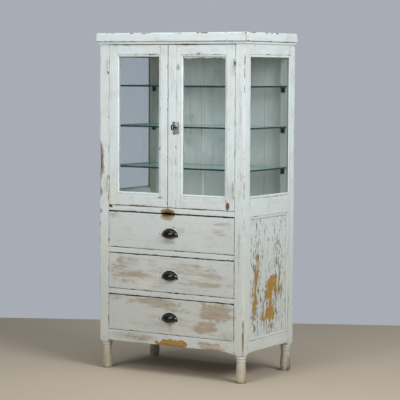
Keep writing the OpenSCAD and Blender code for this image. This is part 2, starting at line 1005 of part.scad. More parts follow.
// two sides and a back
module drawer_box(z1) {
    zb = z1 - drawer_h - 1.2;
    difference() {
        union() {
            for (s = [-1, 1])
                blk(s * (ix - 3), s * (ix - 17), yf + 22, yf + drawer_len, zb, zb + side_h);
            blk(-ix + 17, ix - 17, yf + drawer_len - 16, yf + drawer_len - 2,
                z1 - drawer_h + 16, zb + side_h - 8);
        }
        blk(-ix + 11, ix - 11, yf + 20, yf + drawer_len + eps,
            z1 - drawer_h + 10, z1 - drawer_h + 16);
    }
}

module drawer_bottom(z1) {
    blk(-ix + 11, ix - 11, yf + 22, yf + drawer_len - 1,
        z1 - drawer_h + 10, z1 - drawer_h + 16);
    blk(-ix + 20, ix - 20, yf + 14, yf + 22,
        z1 - drawer_h + 10, z1 - drawer_h + 16);
}

// half of a lens of revolution, hollowed from below, with a flat rim on the drawer
module lens(grow) {
    rb = pull_off + pull_r + grow;
    off = pull_off;
    rotate([0, 90, 0])
        rotate_extrude($fn = 96)
            intersection() {
                translate([-off, 0])
                    circle(r = rb, $fn = 160);
                translate([0, -60])
                    square([60, 120]);
            }
}

module cup_pull(z1) {
    zc = z1 - 100;
    zl = zc - pull_h / 3;
    translate([0, yf, 0])
        union() {
            intersection() {
                difference() {
                    translate([0, pull_fwd, zc])
                        lens(-5);
                    translate([0, pull_fwd, zc])
                        lens(-7.4);
                    blk(-60, 60, 0, 80, zc - 60, zc + 60);
                }
                // the lower lip hangs lowest in the middle
                translate([0, 30, zl + 100])
                    rotate([90, 0, 0])
                        cylinder(h = 80, r = 100, $fn = 240);
            }
            // rim on the drawer
            difference() {
                union() {
                    intersection() {
                        translate([0, pull_ax, zc])
                            lens(0);
                        blk(-60, 60, -1.6, 0, zc, zc + 60);
                    }
                    blk(-pull_w / 2, pull_w / 2, -1.6, 0, zc - 11, zc + 0.01);
                }
                blk(-30, 30, -4, 1, zc - 60, zc + 16);
                for (s = [-1, 1])
                    translate([s * 33, 1, zc + 4])
                        rotate([90, 0, 0])
                            cylinder(h = 5, r = 1.6, $fn = 24);
            }
            // screws
            for (s = [-1, 1])
                translate([s * 33, -1.6, zc + 4])
                    rotate([90, 0, 0])
                        cylinder(h = 1.2, r1 = 3, r2 = 2, $fn = 32);
        }
}

module drawer_upper_front() {
    color(paint) drawer_front(dz1);
}

module drawer_upper_box() {
    color(bare) drawer_box(dz1);
}

module drawer_upper_bottom() {
    color(bare) drawer_bottom(dz1);
}

module drawer_upper_pull() {
    color(iron) cup_pull(dz1);
}

module drawer_middle_front() {
    color(paint) drawer_front(dz2);
}

module drawer_middle_box() {
    color(bare) drawer_box(dz2);
}

module drawer_middle_bottom() {
    color(bare) drawer_bottom(dz2);
}

module drawer_middle_pull() {
    color(iron) cup_pull(dz2);
}

module drawer_lower_front() {
    color(paint) drawer_front(dz3);
}

module drawer_lower_box() {
    color(bare) drawer_box(dz3);
}

module drawer_lower_bottom() {
    color(bare) drawer_bottom(dz3);
}

module drawer_lower_pull() {
    color(iron) cup_pull(dz3);
}

post_front_left();
post_front_right();
post_back_left();
post_back_right();
side_top_rails();
side_middle_rails();
side_aprons();
side_panels();
side_panes();
side_beads();
front_top_rail();
sill_rail();
drawer_rail_upper();
drawer_rail_lower();
front_apron();
back_rails();
back_boards();
cupboard_floor();
top_panel();
cornice_front();
cornice_sides();
cornice_moulding();
shelf_upper();
shelf_middle();
shelf_lower();
shelf_clips();
drawer_runners();
hinge_leaves_post();
hinge_pins();
door_left_stiles();
door_left_rails();
door_left_pane();
door_left_beads();
door_left_leaves();
bolt_keepers();
bolt_upper();
bolt_lower();
door_right_stiles();
door_right_rails();
door_right_pane();
door_right_beads();
door_right_leaves();
meeting_strip();
lock_case();
lock_bolt();
keyhole_plate();
plate_screws();
key();
drawer_upper_front();
drawer_upper_box();
drawer_upper_bottom();
drawer_upper_pull();
drawer_middle_front();
drawer_middle_box();
drawer_middle_bottom();
drawer_middle_pull();
drawer_lower_front();
drawer_lower_box();
drawer_lower_bottom();
drawer_lower_pull();
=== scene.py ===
import math

import bpy
import numpy as np
from mathutils import Matrix, Vector


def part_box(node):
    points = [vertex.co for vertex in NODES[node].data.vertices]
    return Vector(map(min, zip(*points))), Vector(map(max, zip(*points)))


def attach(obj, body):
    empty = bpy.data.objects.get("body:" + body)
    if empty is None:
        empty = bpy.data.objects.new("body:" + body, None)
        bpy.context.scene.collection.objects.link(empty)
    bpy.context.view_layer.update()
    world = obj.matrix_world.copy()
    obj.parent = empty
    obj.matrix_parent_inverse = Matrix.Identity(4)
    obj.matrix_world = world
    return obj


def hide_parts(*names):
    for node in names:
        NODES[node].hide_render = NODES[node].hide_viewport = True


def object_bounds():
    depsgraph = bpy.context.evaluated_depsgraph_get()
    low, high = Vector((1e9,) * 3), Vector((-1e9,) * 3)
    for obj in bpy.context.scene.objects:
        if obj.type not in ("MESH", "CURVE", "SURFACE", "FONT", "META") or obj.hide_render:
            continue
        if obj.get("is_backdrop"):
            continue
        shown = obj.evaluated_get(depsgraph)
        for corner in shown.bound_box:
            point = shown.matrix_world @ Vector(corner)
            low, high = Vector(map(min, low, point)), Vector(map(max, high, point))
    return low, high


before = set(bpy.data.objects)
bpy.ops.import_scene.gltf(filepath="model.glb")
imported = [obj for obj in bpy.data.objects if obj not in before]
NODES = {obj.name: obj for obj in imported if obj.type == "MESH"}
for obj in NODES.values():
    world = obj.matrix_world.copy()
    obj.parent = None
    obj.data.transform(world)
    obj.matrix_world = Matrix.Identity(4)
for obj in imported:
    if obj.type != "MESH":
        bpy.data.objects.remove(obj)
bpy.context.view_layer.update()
scene = bpy.context.scene


# ------------------------------------------------------------------ places, in millimetres
def mm(node):
    """The two corners of a node's box."""
    lo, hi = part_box(node)
    return np.array(lo) * 1000, np.array(hi) * 1000


def span(node, axis):
    """From where to where a node goes along x, y or z."""
    lo, hi = mm(node)
    i = "xyz".index(axis)
    return [float(lo[i]), float(hi[i])]


LEVELS = ("upper", "middle", "lower")
POST = 54.0
# half width, front and back, the inner faces of the posts, and heights
HW = -mm("post_front_left")[0][0]
YF = span("post_front_left", "y")[0]
YB = span("post_back_left", "y")[1]
IX = HW - POST
IYF, IYB = YF + POST, YB - POST
Z_TOP, TOTAL = span("cornice_front", "z")
Z_MOULD = span("cornice_moulding", "z")[0]
# the sill and the two rails between the drawers
SILL = span("sill_rail", "z")
RU = span("drawer_rail_upper", "z")
RL = span("drawer_rail_lower", "z")
# height of the doors, and the outer edges of the left and the right one
DOOR_Z = span("door_left_stiles", "z")
LX = span("door_left_stiles", "x")
RX = span("door_right_stiles", "x")
PLAY, GROOVE = 1.5, 6  # left round a pane, and how far the side panels stand in their rails


def opening(node, axis, by):
    """The opening round a node that is smaller by this much on each side."""
    lo, hi = span(node, axis)
    return lo - by, hi + by


LO = opening("door_left_pane", "x", PLAY)
RO = opening("door_right_pane", "x", PLAY)
OPEN_Z = opening("door_left_pane", "z", PLAY)
SM_TOP, ST_BOT = opening("side_panes", "z", PLAY)
APRON_TOP, SM_BOT = opening("side_panels", "z", -GROOVE)
APRON_BOT = 148.0
DRAWER_BOXES = [mm(f"drawer_{k}_front") for k in LEVELS]
# of the doors: lip behind the pane, thickness, depth of the pane's seat, and the pane's thickness
LIP, DOOR_T, PANE_SET, PANE_T = 8.0, 22.0, 11.0, 3.0
REBATE, FOOT_TOP = 9.0, 158.0  # of the posts: the seat of the side panes, and the top of the turning


# ------------------------------------------------------------------ seeded noise on points
def rnd(i, s):
    """A hash of whole-number points, from 0 to 1."""
    h = (i[..., 0] * 73856093) ^ (i[..., 1] * 19349663) ^ (i[..., 2] * 83492791)
    h = (h ^ (s * 2654435761)) & 0xFFFFFFFF
    h = ((h ^ (h >> 15)) * 2246822519) & 0xFFFFFFFF
    h = ((h ^ (h >> 13)) * 3266489917) & 0xFFFFFFFF
    return ((h ^ (h >> 16)) & 0xFFFFFF) / float(1 << 24)


def noise(p, cell, seed=0):
    """Smooth value noise from 0 to 1 over points in millimetres; cell is the size of a lump."""
    q = p / np.array(cell, float)
    i = np.floor(q).astype(np.int64)
    f = q - i
    f = f * f * (3 - 2 * f)
    out = np.zeros(len(p))
    for c in range(8):
        d = np.array([c & 1, (c >> 1) & 1, (c >> 2) & 1])
        w = np.where(d, f, 1 - f).prod(axis=1)
        out += w * rnd(i + d, seed)
    return out


def smooth(x, a, b):
    """0 at a and 1 at b, with a soft start and end."""
    t = np.clip((x - a) / (b - a), 0, 1)
    return t * t * (3 - 2 * t)


# ------------------------------------------------------------------ where the finish is worn and dirty, and painted shade
# Kinds of marks are 0 bare wood, 1 rubbed thin, 2 grime, which in some spots is painted shade. Each spot is
# its kind, centre, half sizes and strength. On the front and on the right side panel only the places and
# sizes across the face are given; a seventh number on the front is the half depth, where it is not the usual
# one.
F = YF
PANEL_X, PANEL_DEPTH, FRONT_DEPTH = 420, 10, 12


def on_front(kind, x, z, rx, rz, strength, ry=FRONT_DEPTH):
    return kind, (x, F, z), (rx, ry, rz), strength


def on_panel(kind, y, z, ry, rz, strength):
    return kind, (PANEL_X, y, z), (PANEL_DEPTH, ry, rz), strength


def spots(place, *rows):
    return [place(*row) for row in rows]


WEAR_AND_SHADE = []
# right lower side panel: flaking in upright tongues
WEAR_AND_SHADE += spots(
    on_panel,
    (0, -94, 505, 22, 60, 1.07), (0, -82, 592, 12, 56, 0.72), (0, -102, 394, 20, 54, 0.97),
    (0, -103, 322, 14, 46, 0.84), (0, -107, 262, 10, 34, 0.64), (0, 18, 410, 17, 38, 1.00),
    (0, 54, 414, 25, 84, 1.16), (0, 96, 437, 18, 82, 1.07), (0, 128, 434, 12, 66, 0.90),
    (0, 140, 500, 9, 60, 0.67), (0, -24, 304, 19, 32, 0.90), (0, 11, 312, 20, 46, 1.07),
    (0, 46, 310, 25, 62, 1.22), (0, 77, 306, 18, 54, 1.04), (0, 63, 252, 12, 32, 0.97),
    (0, 46, 360, 14, 36, 0.93), (0, 60, 380, 80, 170, 0.40), (0, 50, 446, 46, 78, 1.15),
    (0, 40, 318, 50, 48, 1.15), (0, -92, 512, 20, 50, 1.35), (0, -92, 395, 15, 34, 1.2),
    (0, -92, 500, 66, 330, 0.33), (0, 110, 480, 90, 300, 0.25), (0, 20, 330, 200, 150, 0.24),
    (2, 30, 480, 230, 360, 0.06),
)
# drawer fronts
WEAR_AND_SHADE += spots(
    on_front,
    (1, -247, 505, 190, 100, 0.62), (1, 195, 505, 210, 78, 0.74), (1, -75, 348, 240, 52, 0.95),
    (1, -150, 250, 180, 34, 0.55), (1, 262, 338, 125, 62, 1.25), (1, 215, 250, 85, 46, 1.15),
    (1, 300, 745, 95, 56, 0.50), (2, 70, 728, 30, 26, 0.30), (2, 230, 700, 34, 16, 0.32),
    (1, 0, 500, 460, 140, 0.42), (1, 0, 290, 460, 130, 0.36), (1, 100, 700, 400, 100, 0.16),
    (2, -5, 668, 44, 15, 0.60), (2, 0, 246, 16, 30, 0.50), (0, 6, 232, 5, 22, 0.50),
    (2, -340, 790, 50, 18, 0.45), (2, -330, 372, 60, 22, 0.45), (2, 330, 220, 60, 30, 0.30),
)
# apron
WEAR_AND_SHADE += spots(
    on_front,
    (0, 12, 156, 110, 32, 1.15, 14), (0, 74, 162, 42, 30, 1.3, 14), (1, 229, 168, 120, 30, 1.2, 14),
    (0, 240, 146, 95, 8, 0.62, 14), (2, -220, 178, 160, 30, 0.50), (1, -220, 178, 160, 32, 0.5),
)
# sill under the meeting stiles, and the drawer below it
WEAR_AND_SHADE += spots(
    on_front,
    (0, -36, 814, 24, 26, 1.3, 16), (0, -10, 814, 26, 26, 1.3, 16), (0, 16, 814, 26, 24, 1.3, 16),
    (2, -10, 806, 50, 12, 1.2, 16), (2, -10, 820, 44, 16, 0.6, 16), (2, -18, 795, 46, 20, 0.7, 14),
    (1, -14, 788, 56, 24, 1.2, 14), (0, -361, 829, 18, 9, 0.75, 14), (2, -361, 829, 18, 9, 0.4, 14),
)
# doors
WEAR_AND_SHADE += spots(
    on_front,
    (0, 333, 858, 13, 25, 1.0), (2, 333, 852, 14, 26, 0.85), (0, -165, 841, 128, 5, 0.58, 10),
    (0, 150, 839, 110, 5, 0.62, 10), (0, -120, 1593, 38, 6, 0.58), (2, -120, 1595, 50, 9, 0.60),
    (0, 173, 1598, 50, 6, 0.55), (2, 120, 1642, 95, 7, 1.0, 14), (1, 45, 1530, 16, 28, 1.0),
    (0, -62, 1132, 7, 28, 0.60), (0, -15, 1100, 5, 66, 0.56), (0, -15, 1400, 5, 80, 0.42),
    (0, 59, 1180, 5, 120, 0.40), (1, 8, 1080, 26, 190, 0.30), (1, 10, 1480, 26, 130, 0.28),
    (2, 366, 936, 8, 54, 0.60), (0, 366, 936, 5, 46, 0.50), (0, 369, 1534, 4, 44, 0.45),
    (0, -372, 940, 5, 54, 0.58), (2, -372, 940, 6, 54, 0.60), (0, -372, 1535, 4, 44, 0.50),
    (1, 340, 940, 34, 130, 0.28), (1, 345, 1500, 30, 120, 0.2), (0, -333, 874, 6, 14, 0.5),
    (0, -60, 886, 24, 6, 0.5), (2, -60, 886, 26, 7, 0.5),
)
# front arrises of the posts
WEAR_AND_SHADE += spots(
    on_front,
    (0, 427, 1541, 7, 96, 0.60, 7), (0, 427, 1083, 6, 22, 0.60, 6), (0, 427, 965, 7, 36, 0.56, 7),
    (0, 427, 238, 6, 118, 0.66, 6), (2, 427, 238, 8, 110, 0.9, 8), (2, 427, 1541, 6, 90, 0.5, 6),
    (1, -427, 1056, 30, 140, 1.7, 30), (2, -427, 1056, 24, 120, 0.45, 24),
    (1, -427, 896, 24, 44, 2.2, 24), (2, -427, 896, 15, 36, 0.4, 15), (1, -427, 806, 20, 26, 1.6, 20),
    (0, -427, 430, 6, 60, 0.48, 6), (0, 373, 300, 5, 90, 0.45, 6), (1, 400, 640, 26, 160, 0.45),
    (1, 400, 960, 28, 150, 0.45), (1, 340, 960, 30, 130, 0.35), (1, 400, 1190, 24, 260, 0.35),
    (1, -400, 620, 26, 200, 0.30),
)
# cornice
WEAR_AND_SHADE += [
    (0, (-362, F - 13, TOTAL), (58, 6, 6), 0.58), (0, (-150, F - 13, TOTAL), (60, 6, 6), 0.58),
    (0, (58, F - 13, TOTAL), (56, 7, 7), 0.62), (0, (436, F - 10, 1694), (9, 9, 9), 0.80),
    (2, (440, F - 13, 1678), (2.5, 2.5, 32), 1.0), (0, (250, F - 13, TOTAL), (40, 6, 5), 0.45),
    (0, (440, -20, TOTAL), (6, 60, 5), 0.45), (0, (440, 180, TOTAL), (6, 50, 5), 0.45),
    (0, (0, F - 40, TOTAL), (460, 60, 6), 0.16),
]
# inside of the cupboard: darker and browner under the top, painted shade there with some grime
WEAR_AND_SHADE += [
    (2, (0, YB - 18, 1660), (460, 12, 120), 0.26), (1, (0, YB - 18, 1600), (460, 12, 170), 0.20),
]
# feet; the heavy grime on the back-left foot and the extra grime on the front-left foot are painted shade
WEAR_AND_SHADE += [
    (0, (400, YB - 27, 8), (54, 54, 26), 0.62), (2, (373, YB - 27, 70), (14, 40, 100), 1.1),
    (0, (400, YB - 27, 60), (54, 54, 50), 0.34), (0, (400, F + 27, 2), (48, 48, 9), 0.55),
    (2, (400, F + 27, 0), (54, 54, 14), 0.8), (2, (-400, F + 27, 0), (54, 54, 14), 0.8),
    (2, (400, YB - 27, 0), (54, 54, 22), 0.9), (0, (-400, F + 27, 3), (48, 48, 9), 0.5),
    (1, (400, F + 27, 40), (54, 54, 90), 0.75), (1, (-400, F + 27, 40), (54, 54, 90), 0.65),
    (2, (-400, YB - 27, 60), (42, 42, 190), 3.4), (1, (400, YB - 27, 50), (54, 54, 90), 0.8),
    (2, (400, F + 27, 60), (54, 54, 90), 0.30), (2, (400, YB - 27, 40), (54, 54, 90), 0.62),
    (2, (-400, F + 27, 50), (54, 54, 120), 0.48), (2, (400, F + 27, 108), (30, 30, 5), 0.5),
    (2, (-400, F + 27, 108), (30, 30, 5), 0.5),
]
PULL_Z = [float(hi[2]) - 100 for _, hi in DRAWER_BOXES]


def wear_and_shade_at(p, edge):
    """Bare, rubbed, grime (in some spots painted shade) and arris values for points in millimetres."""
    out = np.zeros((len(p), 4))
    wob = sum((noise(p, cell, seed) - 0.5) * k
              for cell, seed, k in (((60, 60, 40), 900, 0.5), (20, 901, 0.4), (9, 902, 0.2)))
    lo, hi = p.min(0), p.max(0)
    for kind, c, r, s in WEAR_AND_SHADE:
        c, r = np.array(c, float), np.array(r, float)
        if ((c + r * 1.2 < lo) | (c - r * 1.2 > hi)).any():
            continue
        d = np.sqrt((((p - c) / r) ** 2).sum(1)) + (wob if s > 0.5 else 0.4 * wob)
        out[:, kind] = np.maximum(out[:, kind], s * smooth(d, 1.08, 0.35))
    if hi[1] < YF + 30 and hi[2] < 810 and lo[2] > 200:
        for zc in PULL_Z:  # the mark left by an older, larger pull
            q = np.sqrt((p[:, 0] / 61) ** 2 + ((p[:, 2] - zc + 2) / 41) ** 2)
            ring = np.exp(-(((q - 1.0) / 0.07) ** 2)) * (p[:, 2] > zc - 12)
            out[:, 1] = np.where(q < 0.93, 0.0, np.maximum(out[:, 1], 0.75 * ring))
            out[:, 0] = np.maximum(out[:, 0], 0.30 * ring)
    out[:, 3] = edge
    return out


# deeper losses of wood: centre, half sizes, depth
CHIPS = [
    ((-427, F, 1056), (17, 17, 125), 6.5), ((-427, F, 905), (12, 12, 38), 4.0),
    ((427, F, 1541), (7, 7, 92), 1.7), ((427, F, 238), (5, 5, 112), 1.5),
    ((427, F, 1083), (6, 6, 20), 1.6), ((427, F, 965), (7, 7, 32), 1.6),
    ((333, F, 857), (8, 8, 18), 1.0), ((-9, F, 808), (42, 9, 10), 2.4),
    ((-361, F, 832), (13, 9, 8), 2.0), ((15, F, 148), (88, 9, 9), 3.0),
    ((60, F, 148), (30, 9, 7), 3.2), ((240, F, 148), (95, 9, 7), 2.6),
    ((-362, F - 13, TOTAL), (52, 6, 6), 1.8), ((-150, F - 13, TOTAL), (52, 6, 6), 1.8),
    ((58, F - 13, TOTAL), (52, 6, 6), 2.2), ((438, F - 12, TOTAL), (8, 8, 8), 2.4),
    ((120, F, 1640), (88, 6, 5), 1.6), ((-165, F, 838), (120, 5, 4), 1.0),
    ((150, F, 838), (100, 5, 4), 1.1), ((400, YB - 27, 4), (34, 34, 14), 1.8),
    ((424, F + 27, 3), (10, 12, 8), 2.0), ((-380, F + 27, 3), (10, 12, 8), 2.0),
    ((-62, F, 1132), (6, 6, 22), 1.3), ((-15, F, 1100), (5, 5, 56), 1.0),
    ((427, YB, 60), (8, 8, 50), 1.5), ((-427, YB, 300), (8, 8, 90), 1.8),
    ((373, F, 560), (5, 5, 60), 1.0), ((-373, F, 700), (5, 5, 60), 1.0),
]


def losses(p, edge, seed, amount):
    """How far each point has worn in, in millimetres."""
    a = noise(p, 14, seed + 1)
    b = noise(p, 70, seed + 2)
    c = noise(p, 5, seed + 3)
    worn = edge * amount * (0.25 * a + 1.3 * smooth(a * 0.6 + b * 0.55, 0.62, 0.9) + 0.3 * c)
    lo, hi = p.min(0), p.max(0)
    wob = (c - 0.5) * 0.7 + (a - 0.5) * 0.6
    for centre, r, depth in CHIPS:
        centre, r = np.array(centre, float), np.array(r, float)
        if ((centre + r * 1.3 < lo) | (centre - r * 1.3 > hi)).any():
            continue
        d = np.sqrt((((p - centre) / r) ** 2).sum(1)) + wob
        worn = np.maximum(worn, depth * smooth(d, 1.0, 0.3) * (0.6 + 0.5 * c))
    return worn


# ------------------------------------------------------------------ lengths of wood as meshes
ARC = 3  # pieces in a rounded corner


def outline(corners, step):
    """A closed outline from corners (a, b, radius), counter-clockwise.

    Gives its points, their inward directions and how near each is to an arris."""
    n = len(corners)
    c = np.array([k[:2] for k in corners], float)
    parts = []
    for i in range(n):
        p, r = c[i], corners[i][2]
        d0 = p - c[i - 1]
        d1 = c[(i + 1) % n] - p
        d0, d1 = d0 / np.linalg.norm(d0), d1 / np.linalg.norm(d1)
        n0, n1 = np.array([-d0[1], d0[0]]), np.array([-d1[1], d1[0]])
        turn = math.atan2(d0[0] * d1[1] - d0[1] * d1[0], float(d0 @ d1))
        tl = r * math.tan(abs(turn) / 2)
        s = 1 if turn > 0 else -1
        centre = p - d0 * tl + s * n0 * r
        k = ARC if r > 0.05 else 1
        pts = []
        for j in range(k + 1):
            w = turn * j / k
            ca, sa = math.cos(w), math.sin(w)
            nn = np.array([n0[0] * ca - n0[1] * sa, n0[0] * sa + n0[1] * ca])
            pts.append((centre - s * nn * r if r > 0.05 else p, nn))
        if r <= 0.05:
            nn = n0 + n1
            pts = [(p, nn / max(np.linalg.norm(nn), 1e-6))]
        parts.append((pts, 1.0 if turn > 0.35 else 0.0, n1))
    P, N, E = [], [], []
    for i in range(n):
        pts, e0, n1 = parts[i]
        for q, nn in pts:
            P.append(q)
            N.append(nn)
            E.append(e0)
        q0, q1, e1 = pts[-1][0], parts[(i + 1) % n][0][0][0], parts[(i + 1) % n][1]
        length = np.linalg.norm(q1 - q0)
        at = {x for f in (1.1, 3.2) if 2 * f < length - 0.8 for x in (f, length - f)}
        if length > 9:
            inner = length - 6.4
            m = max(1, int(math.ceil(inner / step)))
            at |= {3.2 + inner * j / m for j in range(1, m)}
        for x in sorted({round(x, 4) for x in at}):
            P.append(q0 + (q1 - q0) * x / length)
            N.append(n1)
            E.append(max(e0 * math.exp(-x / 2.4), e1 * math.exp(-(length - x) / 2.4)))
    return np.array(P), np.array(N), np.array(E)


AXES = {"x": (0, 1, 2), "y": (1, 0, 2), "z": (2, 0, 1)}


def length_of(corners, axis, ends, step=6.0, along=6.0, r_end=0.9, seed=1, amount=0.8,
              extra=(), shape=None, wave=0.12):
    """One length of wood: an outline carried along an axis, with softened ends and worn arrises.

    Ends are numbers, or functions that give a mitre's place from the outline's coordinates."""
    P2, N2, E2 = outline(corners, step)
    n = len(P2)
    t0 = ends[0](P2) if callable(ends[0]) else np.full(n, float(ends[0]))
    t1 = ends[1](P2) if callable(ends[1]) else np.full(n, float(ends[1]))
    mitre = callable(ends[0]), callable(ends[1])
    L = float((t1 - t0).max())
    near0, near1 = ([0, 1.2] if m else [0, 0.35 * r_end, r_end, r_end + 1.2, r_end + 3.4] for m in mitre)
    m = max(1, int(math.ceil((L - 9) / along)))
    s = set(near0) | {L - x for x in near1}
    s |= {4.5 + (L - 9) * j / m for j in range(m + 1)} if L > 12 else set()
    s |= {e - float(t0.min()) for e in extra}
    s = np.array(sorted(s))
    s = s[np.concatenate([[True], np.diff(s) > 0.04])]
    k = len(s)
    inset, es = np.zeros(k), np.zeros(k)
    for j, x in enumerate(s):
        for dist, is_mitre in ((x, mitre[0]), (L - x, mitre[1])):
            if is_mitre:
                continue
            if dist < r_end:
                inset[j] = max(inset[j], r_end - math.sqrt(max(0, r_end**2 - (r_end - dist) ** 2)))
            es[j] = max(es[j], math.exp(-max(0.0, dist - r_end) / 2.4))
    T = t0[None, :] + (t1 - t0)[None, :] * (s / L)[:, None]
    A = P2[None, :, 0] + N2[None, :, 0] * inset[:, None]
    B = P2[None, :, 1] + N2[None, :, 1] * inset[:, None]
    ti, ai, bi = AXES[axis]
    V = np.zeros((k, n, 3))
    V[..., ti], V[..., ai], V[..., bi] = T, A, B
    D = np.zeros((k, n, 3))
    D[..., ai], D[..., bi] = N2[None, :, 0], N2[None, :, 1]
    E = np.maximum(E2[None, :], es[:, None]).reshape(-1)
    V, D = V.reshape(-1, 3), D.reshape(-1, 3)
    rest = V.copy()
    if shape is not None:
        V, D = shape(V, D)
    worn = losses(rest, E, seed, amount)
    dull = (noise(rest, (90, 90, 90), seed + 9) - 0.5) * wave * 2 * (1 - E)
    V = V + D * (worn + np.maximum(dull, -0.1))[:, None]
    W = wear_and_shade_at(rest, E)
    rubbed = (rest[:, 0] < 8 - HW) & (rest[:, 1] < YF + 9) & (rest[:, 2] > 760) & (rest[:, 2] < 1210)
    W[:, 0] = np.maximum(W[:, 0], smooth(worn, 0.9, 2.2) * np.where(rubbed, 0.0, 0.52))
    W[:, 3] *= np.where(rubbed, 0.15, 1.0)
    idx = np.arange(k * n).reshape(k, n)
    a, b = idx[:-1], idx[1:]
    quads = np.stack([a, np.roll(a, -1, 1), np.roll(b, -1, 1), b], -1).reshape(-1, 4)
    caps = [idx[0][::-1].tolist(), idx[-1].tolist()]
    # faces look outwards: the handedness of the axes decides
    if np.linalg.det(np.eye(3)[[ti, ai, bi]]) < 0:
        quads, caps = quads[:, ::-1], [c[::-1] for c in caps]
    return {"v": V, "q": quads, "c": caps, "w": W}


def board(x, y, z, axis, r=1.2, **more):
    """A plain board between two corners, its length along axis."""
    spans = {"x": (y, z), "y": (x, z), "z": (x, y)}
    (a0, a1), (b0, b1) = spans[axis]
    t = {"x": x, "y": y, "z": z}[axis]
    return length_of([(a0, b0, r), (a1, b0, r), (a1, b1, r), (a0, b1, r)], axis, t, **more)


def make(name, parts, mats, body, replaces=None):
    """One mesh object from several lengths."""
    vs, ws, loops, starts, mi, flat = [], [], [], [], [], []
    off = at = 0
    for p in parts:
        vs.append(p["v"])
        ws.append(p.get("w", np.zeros((len(p["v"]), 4))))
        q = p["q"] + off
        loops.append(q.reshape(-1))
        starts.append(at + np.arange(len(q)) * 4)
        mi.append(np.full(len(q), p.get("m", 0)))
        flat.append(np.zeros(len(q), bool))
        at += len(q) * 4
        for c in p["c"]:
            loops.append(np.array(c) + off)
            starts.append(np.array([at]))
            mi.append(np.array([p.get("mc", p.get("m", 0))]))
            flat.append(np.array([True]))
            at += len(c)
        off += len(p["v"])
    v = np.concatenate(vs) * 0.001
    loops, starts = np.concatenate(loops).astype(np.int32), np.concatenate(starts).astype(np.int32)
    mi, flat = np.concatenate(mi).astype(np.int32), np.concatenate(flat)
    me = bpy.data.meshes.new(name)
    me.vertices.add(len(v))
    me.vertices.foreach_set("co", v.astype(np.float32).ravel())
    me.loops.add(len(loops))
    me.loops.foreach_set("vertex_index", loops)
    me.polygons.add(len(starts))
    me.polygons.foreach_set("loop_start", starts)
    me.polygons.foreach_set("material_index", mi)
    me.polygons.foreach_set("use_smooth", ~flat)
    me.update(calc_edges=True)
    me.validate()
    att = me.attributes.new("wear", "FLOAT_COLOR", "POINT")
    att.data.foreach_set("color", np.concatenate(ws).astype(np.float32).ravel())
    ob = bpy.data.objects.new(name, me)
    scene.collection.objects.link(ob)
    for m in mats if isinstance(mats, list) else [mats]:
        me.materials.append(m)
    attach(ob, body)
    if replaces:
        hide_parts(replaces)
    return ob


